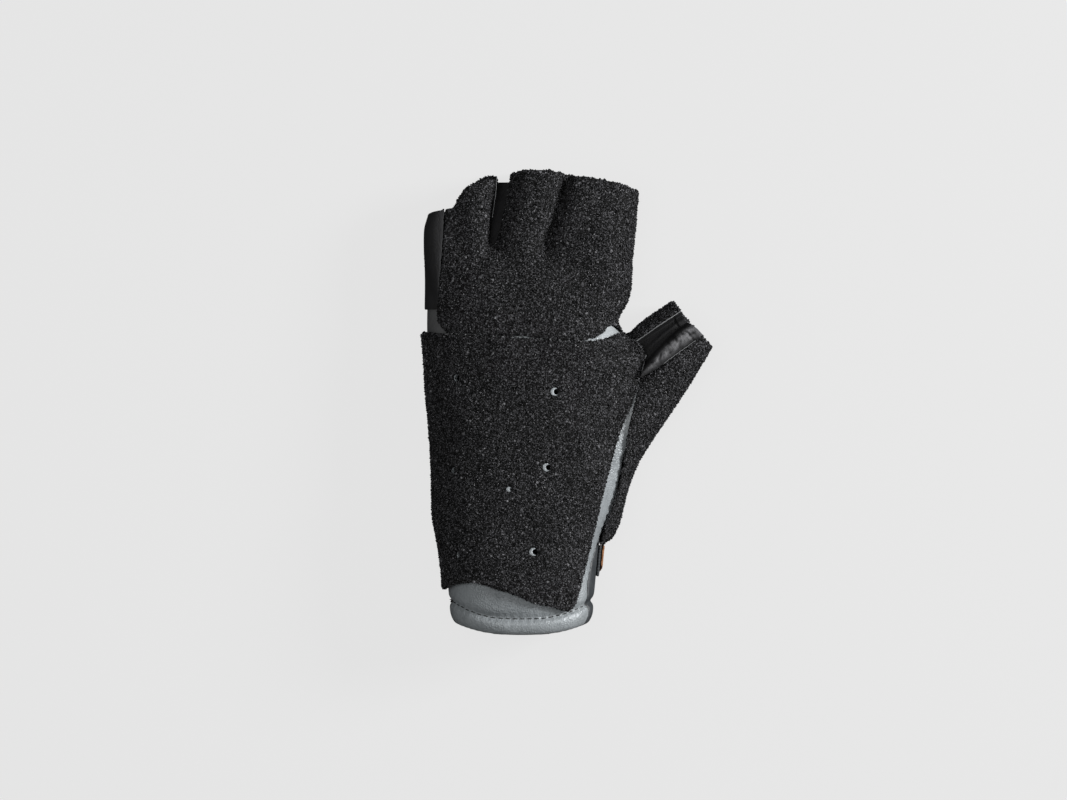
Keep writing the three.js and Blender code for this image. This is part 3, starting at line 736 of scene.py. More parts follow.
def crumbFinish(name, look):
    material, tree, shader, position = newMaterial(name)
    grain = placed(tree, "crumb", Position=position, Grains=look["grains"], Pale=look["pale"])
    tone = node(tree, "Attribute", {"attribute_name": "crumbTone"}).outputs["Fac"]
    mixed = maths(tree, "FRACT", maths(tree, "ADD", tone, grain["Chance"]))
    body = blendColour(tree, ramp(tree, mixed, look["lightFrom"], 1.0), look["dark"], look["light"])
    # a few crumbs and grains painted pale: painted glints
    pale = maths(tree, "MAXIMUM", grain["GlintSpeck"], ramp(tree, tone, look["glintFrom"], look["glintFrom"] + 0.02))
    sheen = maths(tree, "FRACT", maths(tree, "MULTIPLY", tone, 7.3))
    feed(
        tree, shader, Base_Color=blendColour(tree, pale, body, look["glintSpeck"]),
        Roughness=ramp(tree, sheen, 0.55, 1.0, look["roughest"], look["smoothest"]),
        Specular_IOR_Level=look["specular"], Normal=bump(tree, grain["Height"], look["bump"], 0.0003),
    )
    return material


def plainFinish(name, look):
    material, tree, shader, position = newMaterial(name)
    grain = placed(tree, "leather", Position=position, Pebble=look["pebble"], Creasing=0.0)
    colour = blendColour(tree, grain["Mottle"], look["dark"], look["light"])
    relief = bump(tree, grain["Height"], look["bump"], 0.0002)
    feed(tree, shader, Base_Color=colour, Roughness=look["rough"], Normal=relief)
    return material


def webbingFinish(name, look):
    # lengthways ribs and crossing yarns, drawn on the strap's own map, in millimetres
    material, tree, shader, _ = newMaterial(name)
    axes = node(tree, "SeparateXYZ", Vector=node(tree, "UVMap", {"uv_map": "wrap"})).outputs
    ribs = maths(tree, "SINE", maths(tree, "MULTIPLY", axes[1], 2 * math.pi / look["rib"]), 0)
    across = maths(tree, "MULTIPLY", axes[0], 2 * math.pi / look["yarn"])
    yarns = maths(tree, "SINE", maths(tree, "ADD", across, maths(tree, "MULTIPLY", ribs, 1.2)), 0)
    height = maths(tree, "ADD", maths(tree, "MULTIPLY", ribs, 0.5), maths(tree, "MULTIPLY", yarns, 0.35))
    # darker in the weave's hollows and paler on its ribs: painted shade and painted highlight
    colour = blendColour(tree, ramp(tree, height, -0.8, 0.8), look["dark"], look["light"])
    feed(tree, shader, Base_Color=colour, Roughness=look["rough"], Normal=bump(tree, height, look["bump"], 0.0003))
    return material


leatherLooks = {
    "silverLeather": {
        "dark": (0.250, 0.273, 0.286), "light": (0.325, 0.350, 0.365), "crease": (0.15, 0.165, 0.175),
        "creaseShadeShare": 0.3, "pebble": 0.85, "creasing": 0.2, "rough": 0.39, "metallic": 0.12, "specular": 0.5,
        # on the next line, the paler colour is painted light and the darker one is painted shade
        "bump": 0.55, "relief": 0.0003, "wearAndSheen": (0.50, 0.53, 0.545), "paintedShade": (0.13, 0.145, 0.153),
        "lining": (0.027, 0.028, 0.030),
    },
    "darkLeather": {
        "dark": (0.032, 0.036, 0.040), "light": (0.052, 0.058, 0.063), "crease": (0.02, 0.022, 0.025),
        "creaseShadeShare": 0.4, "pebble": 0.8, "creasing": 0.4, "rough": 0.5, "bump": 0.4,
        "lining": (0.027, 0.028, 0.030),
    },
    # a neutral grey leather for the patch, darker also as painted shade on the glove's left flank
    "greyLeatherWithPaintedShade": {
        "dark": (0.080, 0.081, 0.083), "light": (0.110, 0.111, 0.113), "crease": (0.05, 0.05, 0.052),
        "creaseShadeShare": 0.3, "pebble": 0.85, "creasing": 0.2, "rough": 0.5, "bump": 0.5,
    },
    "blackLeather": {
        "dark": (0.006, 0.006, 0.0065), "light": (0.014, 0.014, 0.015), "crease": (0.004, 0.004, 0.004),
        # the paler colour on the next line is painted sheen and wear on the gusset, and an even tone on the little
        # finger's side
        "creaseShadeShare": 0.5, "wearAndSheen": (0.125, 0.125, 0.130), "pebble": 0.6, "creasing": 0.6, "rough": 0.7,
        "specular": 0.24, "bump": 0.4,
    },
    "rustLeather": {
        "dark": (0.20, 0.075, 0.022), "light": (0.36, 0.16, 0.06), "crease": (0.10, 0.035, 0.012), "creaseShadeShare": 0.5,
        "pebble": 0.7, "creasing": 0.4, "rough": 0.55, "bump": 0.4,
    },
}
crumbLook = {
    "dark": (0.0012, 0.0012, 0.0013),
    "light": (0.084, 0.084, 0.09),
    "lightFrom": 0.55,  # the higher, the fewer crumbs are light
    # the pale colour of a few crumbs is a painted glint
    "glintSpeck": (0.19, 0.19, 0.2),
    "glintFrom": 0.984,
    "pale": 0.999,
    "grains": 1.9,
    "roughest": 0.8,
    "smoothest": 0.16,
    "specular": 0.22,
    "bump": 0.8,
}
plainLooks = {
    "blackThread": {
        "dark": (0.006, 0.006, 0.006), "light": (0.012, 0.012, 0.012), "pebble": 0.3, "rough": 0.6, "bump": 0.3,
    },
    "rawEdge": {"dark": (0.06, 0.063, 0.066), "light": (0.26, 0.265, 0.27), "pebble": 0.4, "rough": 0.9, "bump": 0.5},
}
webbingLook = {
    "dark": (0.028, 0.031, 0.034), "light": (0.048, 0.053, 0.058), "rib": 1.4, "yarn": 0.9, "rough": 0.8, "bump": 0.8,
}

finishes = {name: leatherFinish(name, look) for name, look in leatherLooks.items()}
finishes["crumbRubber"] = crumbFinish("crumbRubber", crumbLook)
finishes.update({name: plainFinish(name, look) for name, look in plainLooks.items()})
finishes["strapWebbing"] = webbingFinish("strapWebbing", webbingLook)
trees = {"crumbs": crumbTree(), "stitches": stitchTree(), "thread": threadTree()}
report("finishes")

# Putting a finished piece in the frame.


sag = {
    "long": 0.42, "waves": ((11, 0.7), (17, 1.3)), "short": 0.22, "ripples": (6.5, 9), "heights": (9.0, 20.0),
    "places": (20, 40),
}


def sagged(points):
    # the stuffed hand isn't quite even: a slow swell that all the pieces share
    x, y, z = points.T
    (wide, wideStart), (long, longStart) = sag["waves"]
    swell = sag["long"] * np.sin(x / wide + wideStart) * np.sin(y / long + longStart)
    swell = swell + sag["short"] * np.sin(x / sag["ripples"][0] + y / sag["ripples"][1])
    rise = swell * smoothstep(z, *sag["heights"]) * smoothstep(y, *sag["places"])
    return points + np.column_stack([0 * rise, 0 * rise, rise])


def keepPiece(name, mesh, finish, nodes=(), smooth=True, patch=None):
    points = sagged(pointsOf(mesh))
    setPoints(mesh, (points + [drawing["moveX"], drawing["moveY"], 0]) * drawing["metre"])
    mesh.name = name
    piece = inScene(name, mesh)
    mesh.materials.clear()
    mesh.materials.append(finishes[finish])
    if patch is not None:
        mesh.materials.append(finishes["greyLeatherWithPaintedShade"])
        mesh.polygons.foreach_set("material_index", patch.astype(np.int32))
    mesh.polygons.foreach_set("use_smooth", np.full(len(mesh.polygons), smooth))
    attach(piece, "root")
    if nodes:
        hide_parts(*nodes)


def depthIn(points, tree):
    # how far the points are from the inner face of the panels
    return np.array([tree.find_nearest(p)[3] for p in points])


def store(mesh, name, values):
    attribute = mesh.attributes.get(name) or mesh.attributes.new(name, "FLOAT", "POINT")
    attribute.data.foreach_set("value", np.ascontiguousarray(values, np.float32))


crumbs = {"Spacing": 1.0, "Smallest": 0.42, "Largest": 0.86}
crumbStart = (0.25, 0.45)  # the share of the wall, from the inside, where the crumbs set in


def roughPanel(name, mesh, wall, seed, lift=None, bare=None):
    # a crumb-rubber panel: a smooth body, and the crumbs that cover its outside and its cut edges
    points = pointsOf(mesh)
    share = depthIn(points, coreTree) / (wall - crumbRise)
    mask = smoothstep(share, *crumbStart)
    store(mesh, "crumbMask", mask if bare is None else mask * (1 - bare(points)))
    if lift is not None:
        setPoints(mesh, lift(points))
    grains = runTree(trees["crumbs"], mesh.copy(), **crumbs, Seed=seed, Finish=finishes["crumbRubber"])
    keepPiece(name + "_body", mesh, "crumbRubber", [name])
    keepPiece(name + "_crumbs", grains, "crumbRubber", smooth=False)
    print(f"  {name}: {len(mesh.polygons)} faces, {len(grains.polygons)} crumb faces")


# The leather of the back and the palm.


def drill(x, y, radius, start=-6.0, end=8.0):
    # a round block, square to the back of the hand
    spot, slope, _, _ = coreTree.ray_cast((x, y, 90), (0, 0, -1))
    if slope.z < 0:
        slope = -slope
    turn = slope.to_track_quat("Z", "Y")
    angle = 2 * math.pi * np.arange(24) / 24
    rings = [
        np.array([spot + turn @ Vector((radius * math.cos(a), radius * math.sin(a), z)) for a in angle])
        for z in (start, end)
    ]
    return loft(rings[::-1])


# x, y and radius in the pad, how high the leather stands in it, and how far aside and how wide its own hole is
vents = [
    (16.2, 115.0, 2.1, 2.5, 0.95, 1.35), (12.4, 79.3, 2.1, 2.5, 0.95, 1.35), (6.2, 39.4, 2.1, 2.5, 0.95, 1.35),
    (-5.2, 68.9, 1.35, 2.6, 0.9, 0.5), (-29.4, 121.6, 1.9, 0.9, 0.2, 1.4), (-30.6, 78.0, 1.9, 0.3, 0.1, 1.65),
    (-28.4, 38.0, 1.9, 0.4, 0.2, 1.5),
]
leather = {
    "voxel": 0.75,
    "hemRow": 16.2,
    "hemFoot": 13,
    "hemTop": 1,
    "groove": 0.6,
    "grooveWidth": 1.1,
    "pucker": 0.16,
    "puckerWidth": 2.6,
    "turned": (1.5, 2.2),  # depth in the wall at which the leather turns into the lining
    "drawn": 6.0,  # how far from the seam the leather is drawn in, of what lies outside and before the end
    "drawnEnd": 24,
    "outside": 1.3,
    "cuffMiddle": (0.7, 14.0, 22.0),
    "lineStep": 0.4,
    "stitchProud": 0.04,
}
puff = {"slack": 0.05, "foot": -0.2, "room": 0.3, "voxel": 0.3}  # the leather that rises in each vent
hemStitch = {"Pitch": 3.65, "Length": 2.75, "Thickness": 0.55, "Seed": 3}


def hemLine(level):
    # the seam round the cuff, over the back of the hand
    row = int(np.abs(handForm["rows"]["leftY"] - leather["hemRow"]).argmin())
    ring = ringOf(handForm, row, level, 0)
    back = ring[(ring[:, 2] > leather["hemFoot"]) | (ring[:, 2] >= ring[:, 2].max() - leather["hemTop"])]
    order = np.argsort(back[:, 0])
    return smoothLine(back[order], leather["lineStep"])


def creased(points):
    # the seam pulls the leather in, and each stitch puckers it
    seamLine = hemLine(levels["leather"])
    outside = (points[:, 1] < leather["drawnEnd"]) & (depthIn(points, coreTree) < leather["outside"])
    tree = KDTree(len(seamLine))
    for k, spot in enumerate(seamLine):
        tree.insert(spot, k)
    tree.balance()
    moved = points.copy()
    for i in np.flatnonzero(outside):
        _, k, near = tree.find(points[i])
        if near < leather["drawn"]:
            wave = math.cos(2 * math.pi * leather["lineStep"] * k / hemStitch["Pitch"])
            push = -leather["groove"] * math.exp(-((near / leather["grooveWidth"]) ** 2))
            push += leather["pucker"] * wave * math.exp(-((near / leather["puckerWidth"]) ** 2))
            away = points[i] - leather["cuffMiddle"]
            away[1] = 0
            moved[i] += push * away / np.linalg.norm(away)
    return moved


leatherOutline = [
    (-70, -20), (60, -20), (60, 40), (45, 62), (49, 84), (56, 108), (57, 120), (53, 136), (50, 150), (70, 156),
    (70, seam["backY"]), (-70, seam["backY"]),
]
leatherBlock = block(leatherOutline, low, high)


# painted light: the triangle beside the thumb gets a painted highlight, and the top of the strip gets painted light
# where the thumb's wall shades it
paintedLight = {  # where the back leather is painted paler, and by how much: across, up from, and up to
    "triangle": ((36, 40), (136, 139), (149, 152), 0.85),
    "strip": ((38, 44), (84, 102), (122, 128), 0.8),
}
# painted shade: the middle of the cuff, below the pad's free edge, is painted darker
cuffShade = {"x": -7, "width": 15, "from": (8, 11), "to": (22, 28), "share": 0.75}
# the grey patch lies left of and above this corner, and the palm's rubber leaves a room there. The patch is a neutral
# grey leather, painted darker as well for the shade on the glove's left flank
greyPatch = {"x": -30, "y": 137, "room": (-70, 141, -36, 154.6), "roomLow": 6.5, "roomHigh": 20}


def lightBand(x, y, across, start, end, share):
    return share * (smoothstep(x, *across) * smoothstep(y, *start) * (1 - smoothstep(y, *end)))


def leatherPiece(name, upper, finish):
    steps = [("cut", hollow), ("keep", leatherBlock), ("keep", aboveSeam(upper))]
    if upper:
        steps += [("cut", drill(x + aside, y, hole + puff["room"])) for x, y, _, _, aside, hole in vents]
    mesh = relax(mainBody(combine(leatherOuter, steps, leather["voxel"])), 2)
    setPoints(mesh, creased(pointsOf(mesh)))
    points = pointsOf(mesh)
    store(mesh, "liningShare", smoothstep(depthIn(points, coreTree), *leather["turned"]))
    x, y, _ = points.T
    # faces of the grey patch, which take the grey leather with its painted shade
    corner = np.array([p.vertices[0] for p in mesh.polygons])
    side = (x[corner] < greyPatch["x"]) & (y[corner] > greyPatch["y"])
    if upper:
        # painted highlight on the triangle, and painted light on the strip's top
        store(mesh, "wearAndSheenShare", lightBand(x, y, *paintedLight["triangle"]) + lightBand(x, y, *paintedLight["strip"]))
        # the cuff's middle is painted darker: painted shade below the pad's edge
        paintedShade = np.exp(-(((x - cuffShade["x"]) / cuffShade["width"]) ** 2))
        paintedShade = paintedShade * smoothstep(y, *cuffShade["from"]) * (1 - smoothstep(y, *cuffShade["to"]))
        store(mesh, "paintedShadeShare", cuffShade["share"] * paintedShade)
    tree = treeOfFaces(mesh)
    keepPiece(name + "_skin", mesh, finish, [name], patch=side)
    return tree


backTree = leatherPiece("back_leather", True, "silverLeather")
leatherPiece("palm_leather", False, "darkLeather")
stitchLine = []
for spot in hemLine(levels["leather"] + 0.3):
    foot, slope, _, _ = backTree.find_nearest(spot)
    stitchLine.append(foot + slope * leather["stitchProud"])
hemThread = runTree(trees["stitches"], lineMesh(stitchLine), **hemStitch, Finish=finishes["blackThread"])
keepPiece("hem_stitches", hemThread, "blackThread")

puffs = []
for x, y, radius, rise, aside, hole in vents:
    plug = drill(x, y, radius - puff["slack"], puff["foot"], rise)
    puffs.append(combine(plug, [("cut", drill(x + aside, y, hole))], puff["voxel"]))
ventLeather = relax(combine(puffs[0], [("join", other) for other in puffs[1:]]), 3)
keepPiece("vent_leather", ventLeather, "silverLeather")
report("leather")

# The crumb-rubber panels.

pad = {"voxel": 1.0, "wall": levels["pad"] - levels["core"], "seed": 11, "lip": 1.0, "lipWidth": 9.0, "lipEnd": 40}
grip = {"voxel": 1.1, "wall": levels["grip"] - levels["core"]}


def panelOf(outer, steps, voxel):
    return relax(mainBody(combine(outer, [("cut", core), ("keep", trim), *steps], voxel)), 1)


def gripPanel(name, seed, steps, bare=None):
    roughPanel(name, panelOf(gripOuter, steps, grip["voxel"]), grip["wall"], seed, bare=bare)


def upperBlock(outline):
    return block(outline, gripZ + halfGap, high)


def padLip(points):
    # the free edge stands a little off the cuff
    edge = np.array(smoothLine(padFreeEdge, 2.0))
    near = np.full(len(points), 99.0)
    close = points[:, 1] < pad["lipEnd"]
    near[close] = np.sqrt(((points[close, None, :2] - edge[None]) ** 2).sum(2)).min(1)
    rise = pad["lip"] * np.clip(1 - near / pad["lipWidth"], 0, 1) ** 2
    return points + np.column_stack([0 * rise, 0 * rise, rise])


holes = [("cut", drill(x, y, radius)) for x, y, radius, _, _, _ in vents]
padMesh = panelOf(padOuter, [("keep", upperBlock(padLine)), *holes], pad["voxel"])
roughPanel("wrist_pad", padMesh, pad["wall"], pad["seed"], lift=padLip)

littleRoom = ("cut", littleSideBlock(0.02))
slitRooms = [("cut", slitBlock(slit, seam["gap"])) for slit in slits.values()]


wearAndSheen = {"share": 0.85, "y": (178, 188), "x": (-33.5, -29.5)}


def wornSmooth(points):
    # few crumbs are left beside the little finger's tip
    x, y, _ = points.T
    return wearAndSheen["share"] * smoothstep(y, *wearAndSheen["y"]) * (1 - smoothstep(x, *wearAndSheen["x"]))


fingerOutline = [*smoothLine(fingerGripEdge), (61, 172), (70, 240), *littleSeam[:0:-1]]
fingerSteps = [("keep", upperBlock(fingerOutline)), littleRoom, ("cut", padRoom()), *slitRooms]
gripPanel("finger_grip", 12, fingerSteps, bare=wornSmooth)

palmEndsBefore = 16  # the palm's outline leaves the thumb's seam this many spots before its end
palmOutline = [(-70, seam["palmY"]), (38.2, seam["palmY"]), *thumbSeam[:-palmEndsBefore][::-1], (-70, 240)]
patchRoom = ("cut", block(rectangle(*greyPatch["room"]), greyPatch["roomLow"], greyPatch["roomHigh"]))
thumbCut = ("cut", seamAlong(thumbSeam, low))
palmSteps = [("keep", block(palmOutline, low, gripZ - halfGap)), littleRoom, patchRoom, thumbCut, *slitRooms]
gripPanel("palm_grip", 13, palmSteps)

thumbOutline = [*smoothLine(thumbGripEdge), (100, 42.6), (120, 150), (90, 175), (55, 150), (50.5, 142.4), (51, 128)]
thumbWebOutline = [*gussetLeft, (80, 175), (60, 166), (54.5, 152), (49.6, 142.6)]
thumbRooms = [("cut", gussetRoom()), ("cut", padRoom())]
thumbWeb = block(thumbWebOutline, low, high)
gripPanel("thumb_grip_front", 14, [("keep", upperBlock(thumbOutline)), *thumbRooms, ("cut", thumbWeb)])

thumbPalmOutline = [*thumbSeam, (60, 42.6), (120, 60), (120, 240)]
thumbUnder = block(thumbPalmOutline, low, gripZ - halfGap)
backRegion = combine(thumbUnder, [("join", block(thumbWebOutline, gripZ - 1, high))])
gripPanel("thumb_grip_back", 15, [("keep", backRegion), thumbCut, *thumbRooms])
report("crumb-rubber panels")

# The soft black leather between the panels.


def softPiece(name, mesh):
    keepPiece(name + "_skin", mesh, "blackLeather", [name])


gusset = {
    "leftEnds": ((50.0, 135.0), (76.3, 153.4)), "rightEnds": ((54.4, 119.8), (86.6, 142.0)), "wall": 1.15,
    "drop": 5.6, "puff": 1.7, "valley": [(0, 0.86), (0.1, 0.8), (0.35, 0.6), (0.6, 0.5), (0.85, 0.44), (1, 0.44)],
    "hollowEnd": [(0, 0.0), (0.2, 1.2), (0.35, 1.6), (0.56, 0.5), (0.75, 0.0), (1, 0.0)], "wrinkle": 0.4,
    "ripples": ((2.4, 6, 4, 1.0), (1.1, 12, 9, 0.5)), "ridge": 0.8, "ridgePlace": 0.6, "ridgeWidth": 0.07, "hem": 4.0,
    "lip": 0.5, "lipWidth": 0.8, "groove": 0.35, "grooveWidth": 0.5, "tuck": 0.4,
    "deep": ((0, 0.13), (-0.05, 0.11), (-0.1, 0.15)), "full": ((0, 0.2), (0.78, 1.0), (0.02, 0.3)),
    "wearAndSheenShares": (0.75, 1.2, 0.8), "hemSheenEnd": (0.3, 2.2), "hemSheenAcross": (0.05, 0.25), "across": 72, "along": 110,
}


def partOf(line, start, end, count):
    # evenly spaced spots on a drawn line, from one place to another
    line = np.array(line)
    i, j = (int(np.hypot(*(line - spot).T).argmin()) for spot in (start, end))
    part = line[i : j + 1] if i < j else line[j : i + 1][::-1]
    along = np.concatenate([[0], np.cumsum(np.hypot(*np.diff(part, axis=0).T))])
    at = np.linspace(0, along[-1], count)
    return np.column_stack([np.interp(at, along, part[:, k]) for k in range(2)])


def gussetSheet():
    # lies low along its left half and folds up over a ridge to the right, with a turned hem at the opening
    rows, columns = gusset["along"], gusset["across"]
    left = partOf(gussetLeft, *gusset["leftEnds"], rows)[:, None]
    right = partOf(gussetRight, *gusset["rightEnds"], rows)[:, None]
    v, u = np.meshgrid(np.linspace(0, 1, rows), np.linspace(0, 1, columns), indexing="ij")
    plan = left * (1 - u[..., None]) + right * u[..., None]
    length = np.hypot(*(left[-1, 0] - left[0, 0]))
    back = (left[0, 0] - left[-1, 0]) / length
    pulled = np.interp(u, *zip(*gusset["hollowEnd"])) * smoothstep(v, 0.5, 1)
    plan = plan + pulled[..., None] * back
    flatRows = {**stallForms["thumb"]["rows"], "fold": 0 * stallForms["thumb"]["rows"]["fold"]}
    thumb = treeOfFaces(formAt({**stallForms["thumb"], "rows": flatRows}, levels["side"], openEnd=True))
    hand = treeOfFaces(formAt(handForm, levels["side"]))
    base = np.empty(u.shape)
    for i, j in np.ndindex(u.shape):
        hits = [tree.ray_cast((*plan[i, j], 90), (0, 0, -1))[0] for tree in (thumb, hand)]
        base[i, j] = max(hit.z for hit in hits if hit is not None)
    valley = np.interp(v, *zip(*gusset["valley"]))

    def over(at, limits, start=0):
        return smoothstep(at, start + limits[0], start + limits[1])

    deepUp, deepDown, deepAlong = gusset["deep"]
    deep = over(u, deepUp) * (1 - over(u, deepDown, valley)) * over(v, deepAlong)
    fullUp, fullDown, fullAlong = gusset["full"]
    full = over(u, fullUp, valley) * (1 - over(u, fullDown)) * over(v, fullAlong)
    ripple = 0 * u
    for size, often, seed, height in gusset["ripples"]:
        spots = zip((v * length).flat, u.flat)
        ripple += height * np.array([noise.noise((a / size, often * b, seed)) for a, b in spots]).reshape(u.shape)
    ridge = np.exp(-(((u - gusset["ridgePlace"] * valley) / gusset["ridgeWidth"]) ** 2)) * smoothstep(v, 0.1, 0.5)
    z = base - gusset["drop"] * deep + gusset["puff"] * full + gusset["wrinkle"] * ripple * full
    z += gusset["ridge"] * ridge * deep
    toEnd = (1 - v) * length
    z += gusset["lip"] * (1 - smoothstep(toEnd, gusset["hem"] - gusset["lipWidth"], gusset["hem"]))
    z -= gusset["groove"] * np.exp(-(((toEnd - gusset["hem"] - 0.3) / gusset["grooveWidth"]) ** 2))
    z[:, [0, -1]] -= gusset["tuck"]
    top = np.concatenate([plan, z[..., None]], 2)
    under = top - [0, 0, gusset["wall"]]
    n = rows * columns
    grid = np.arange(n).reshape(rows, columns)
    faces = []
    for i in range(rows - 1):
        for j in range(columns - 1):
            a, b, c, d = grid[i, j], grid[i, j + 1], grid[i + 1, j + 1], grid[i + 1, j]
            faces += [(d, c, b, a), (a + n, b + n, c + n, d + n)]
    rim = [*grid[0], *grid[1:, -1], *grid[-1, -2::-1], *grid[-2:0:-1, 0]]
    faces += [(rim[k], rim[(k + 1) % len(rim)], rim[(k + 1) % len(rim)] + n, rim[k] + n) for k in range(len(rim))]
    mesh = meshOf(np.concatenate([top.reshape(-1, 3), under.reshape(-1, 3)]), [tuple(map(int, f)) for f in faces])
    if signedVolume(mesh) < 0:
        mesh.flip_normals()
    # the puffed face is painted paler, partly as wear and partly as painted sheen that is brighter on the wrinkle
    # crests; the turned hem at the opening gets a painted highlight
    even, uneven, hem = gusset["wearAndSheenShares"]
    atEnd = (1 - over(toEnd, gusset["hemSheenEnd"])) * over(u, gusset["hemSheenAcross"], valley)
    sheenAndWear = np.clip(np.maximum(full * (even + uneven * ripple), hem * atEnd), 0, 1).ravel()
    store(mesh, "wearAndSheenShare", np.concatenate([sheenAndWear, 0 * sheenAndWear]))
    return combine(mesh, [("cut", padRoom())])


softPiece("thumb_gusset", gussetSheet())
little = {"voxel": 0.6, "shift": 0.9, "from": (37, 42), "to": (160, 190), "wearAndSheen": 0.07}
littleMesh = panelOf(gripOuter, [("keep", littleSideBlock(0))], little["voxel"])
spots = pointsOf(littleMesh)
shift = little["shift"] * smoothstep(-spots[:, 0], *little["from"])
spots[:, 0] += shift * (1 - smoothstep(spots[:, 1], *little["to"]))
setPoints(littleMesh, spots)
store(littleMesh, "wearAndSheenShare", np.full(len(spots), little["wearAndSheen"]))
softPiece("little_finger_side", littleMesh)


# The pale cut edges that show, by the way they run in plan. Their height is taken beside the line.
rawEdges = [
    {
        "name": "gusset_left_raw_edge", "line": [(55.4, 139.2), (66, 146.6), (76.4, 153.4)], "thickness": 0.5,
        "lift": 0.25,
    },
    {
        "name": "gusset_right_raw_edge", "line": [(64.1, 125.6), (72, 131.4), (83.1, 139.4)], "thickness": 0.3,
        "lift": 0.15,
    },
    {
        "name": "pad_side_raw_edge", "line": [(59.7, 132.5), (58.7, 128.3), (57.8, 124.0)], "thickness": 0.5,
        "lift": 0.2,
    },
    {
        "name": "ring_raw_edge", "line": [(-11.0, 217.2), (-11.5, 210.0), (-12.4, 203.0), (-13.2, 198.0)],
        "thickness": 0.3, "lift": -0.9, "beside": -1.6,
    },
]
tufts = {
    "line": [(-34, 142.7), (-16, 141.6), (0, 140.6), (14, 139.8), (24, 139.2), (33, 139.4), (40, 140.3)],
    "lift": 0.15, "stitch": {"Pitch": 4.3, "Length": 1.0, "Thickness": 0.7, "Looseness": 0.7, "Seed": 8},
}
rawThread = {"Step": 0.5, "Fray": 0.55}
gripTree = treeOfFaces(gripOuter)


def lineOnGrip(line, lift, beside=0):
    return lineMesh([(x, y, heightOn(gripTree, x + beside, y) + lift) for x, y in smoothLine(line, 0.5)])


pale = finishes["rawEdge"]
for edge in rawEdges:
    spots = lineOnGrip(edge["line"], edge["lift"], edge.get("beside", 0))
    thread = runTree(trees["thread"], spots, **rawThread, Thickness=edge["thickness"], Finish=pale)
    keepPiece(edge["name"], thread, "rawEdge")
tuftLine = lineOnGrip(tufts["line"], tufts["lift"])
tuftMesh = runTree(trees["stitches"], tuftLine, **tufts["stitch"], Finish=pale)
keepPiece("pad_top_tufts", tuftMesh, "rawEdge")


softVoxel = 0.5


def slitX(slit, y):
    (footX, footY), (endX, endY) = slit["foot"], slit["end"]
    return footX + (endX - footX) * (y - footY) / (endY - footY)


for name, slit in slits.items():
    mesh = combine(sideOuter, [("cut", core), ("keep", trim), ("keep", slitBlock(slit, 0))])
    steps = []
    if name == "fourchette_ring_middle":
        footX, endX = slitX(slit, web["footY"]), slitX(slit, web["endY"])
        webOutline = [
            (footX - web["footHalf"], web["footY"]), (footX + web["footHalf"], web["footY"]),
            (endX + web["endHalf"], web["endY"]), (endX - web["endHalf"], web["endY"]),
        ]
        sheet = block(webOutline, web["low"], web["high"])
        spots = pointsOf(sheet)
        left = np.isin(np.arange(len(spots)) % 4, [k for k in range(4) if spots[k, 0] < slitX(slit, spots[k, 1])])
        toFoot = (web["endY"] - spots[:, 1]) / (web["endY"] - web["footY"])
        spots[left, 2] -= web["slope"] * (1 - toFoot[left])
        spots[:, 2] += web["climb"] * toFoot
        setPoints(sheet, spots)
        above = combine(gripOuter, [("keep", block(rectangle(-40, 170, 20, 230), slit["high"] + seam["gap"], high))])
        webMesh = combine(sheet, [("cut", core), ("cut", above)])
        steps = [("join", webMesh)]
    softPiece(name, relax(mainBody(combine(mesh, steps, softVoxel)), 2))
report("soft leather")

# The closing strap under the wrist, and its tab.

strap = {"front": 25, "back": 42.2, "leftTop": 11, "rightTop": 25.5, "voxel": 0.6}
wrapRound = {"middleZ": 25, "radius": 30}
tab = {"front": 27.5, "slant": 32.5, "back": 42.2, "low": 5, "high": 24, "inside": 30, "voxel": 0.5}


strapRight = [(-1, strap["front"]), (30, tab["front"]), (60, tab["front"]), (60, strap["back"]), (-1, strap["back"])]
strapBlock = combine(
    block(rectangle(-60, strap["front"], 0, strap["back"]), low, strap["leftTop"]),
    [("join", block(strapRight, low, strap["rightTop"]))],
)
strapMesh = panelOf(sideOuter, [("keep", strapBlock)], strap["voxel"])
wrap = strapMesh.uv_layers.new(name="wrap")
spots = pointsOf(strapMesh)[numbersOf(strapMesh.loops, "vertex_index", 1)[:, 0]]
around = np.arctan2(spots[:, 2] - wrapRound["middleZ"], spots[:, 0]) * wrapRound["radius"]
wrap.data.foreach_set("uv", np.column_stack([around, spots[:, 1]]).astype(np.float32).ravel())
keepPiece("wrist_strap_band", strapMesh, "strapWebbing", ["wrist_strap"])

tabInner = formAt(handForm, levels["strapGap"], openStart=True)
tabSide = [
    (tab["front"], tab["low"]), (tab["back"], tab["low"]), (tab["back"], tab["high"]), (tab["slant"], tab["high"]),
]
tabBlock = loft([np.array([(x, y, z) for y, z in tabSide], float) for x in (tab["inside"], 60)])
if signedVolume(tabBlock) < 0:
    tabBlock.flip_normals()
tabMesh = combine(formAt(handForm, levels["tab"]), [("cut", tabInner), ("keep", tabBlock)], tab["voxel"])
keepPiece("strap_pull_tab_skin", relax(mainBody(tabMesh), 2), "rustLeather", ["strap_pull_tab"])
report("strap and tab")

report("sheets declared")

# Table, light and camera.

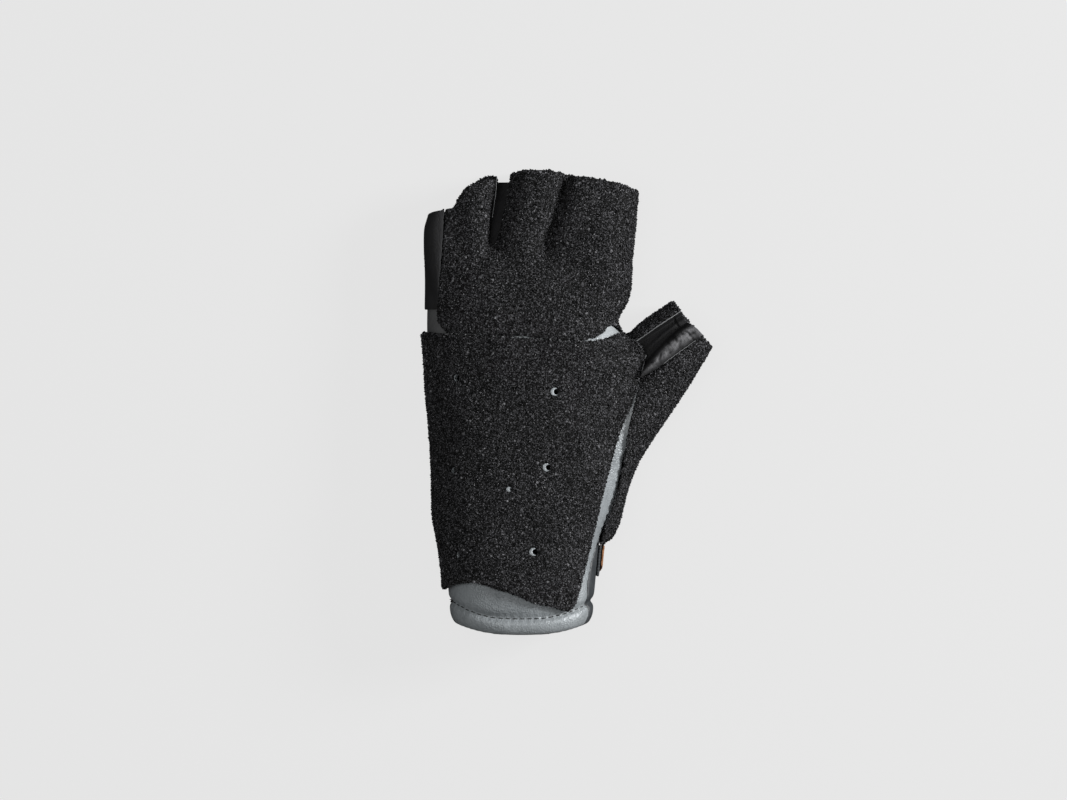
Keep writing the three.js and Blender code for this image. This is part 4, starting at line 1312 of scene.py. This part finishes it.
view = {"lens": 250.0, "sensor": 36.0, "frameWidth": 0.5068, "focusHeight": 0.02, "middleX": 6.4, "middleY": 111.2}
lamps = [
    {"name": "keyLight", "at": (1.25, 0.35, 0.7), "size": 0.4, "power": 27},
    {"name": "topLight", "at": (-0.45, 0.1, 1.6), "size": 0.9, "power": 8},
]
studio = {"backdrop": 0.79, "ambient": 0.17, "paper": 0.055, "glow": 0.74, "tableZ": -0.0006}


def softLight(name, at, size, power):
    light = bpy.data.lights.new(name, "AREA")
    light.shape, light.size, light.energy = "SQUARE", size, power
    holder = inScene(name, light)
    holder.location = at
    holder.rotation_euler = (-Vector(at)).to_track_quat("-Z", "Y").to_euler()


for lamp in lamps:
    softLight(**lamp)

# The backdrop and the paper are seen pale and even, and add only a little light of their own to the glove.
world = bpy.data.worlds.new("studio")
bpy.context.scene.world = world
world.use_nodes = True
backdrop = world.node_tree.nodes["Background"].inputs
seen = node(world.node_tree, "LightPath").outputs["Is Camera Ray"]
backdrop["Color"].default_value = (1, 1, 1, 1)
brightness = node(world.node_tree, "MapRange", Value=seen, To_Min=studio["ambient"], To_Max=studio["backdrop"])
setSocket(world.node_tree, backdrop["Strength"], brightness)

tableCorners = [(*corner, studio["tableZ"]) for corner in rectangle(-9, -9, 9, 9)]
table = meshOf(tableCorners, [(0, 1, 2, 3)], "table")
tableTop = inScene("tableTop", table)
paper = bpy.data.materials.new("palePaper")
paper.use_nodes = True
paperShader = paper.node_tree.nodes["Principled BSDF"].inputs
paperShader["Base Color"].default_value = (*[studio["paper"]] * 3, 1)
paperShader["Roughness"].default_value = 1.0
paperShader["Specular IOR Level"].default_value = 0.0
paperShader["Emission Color"].default_value = (1, 1, 1, 1)
glow = node(paper.node_tree, "LightPath").outputs["Is Camera Ray"]
setSocket(paper.node_tree, paperShader["Emission Strength"], maths(paper.node_tree, "MULTIPLY", glow, studio["glow"]))
table.materials.append(paper)

camera = inScene("camera", bpy.data.cameras.new("camera"))
camera.data.lens, camera.data.sensor_width = view["lens"], view["sensor"]
distance = view["frameWidth"] * view["lens"] / view["sensor"]
camera.location = (
    (view["middleX"] + drawing["moveX"]) * drawing["metre"], (view["middleY"] + drawing["moveY"]) * drawing["metre"],
    view["focusHeight"] + distance,
)
camera.data.clip_end = 50
bpy.context.scene.camera = camera
bpy.context.scene.view_settings.view_transform = "Standard"
report("stage")
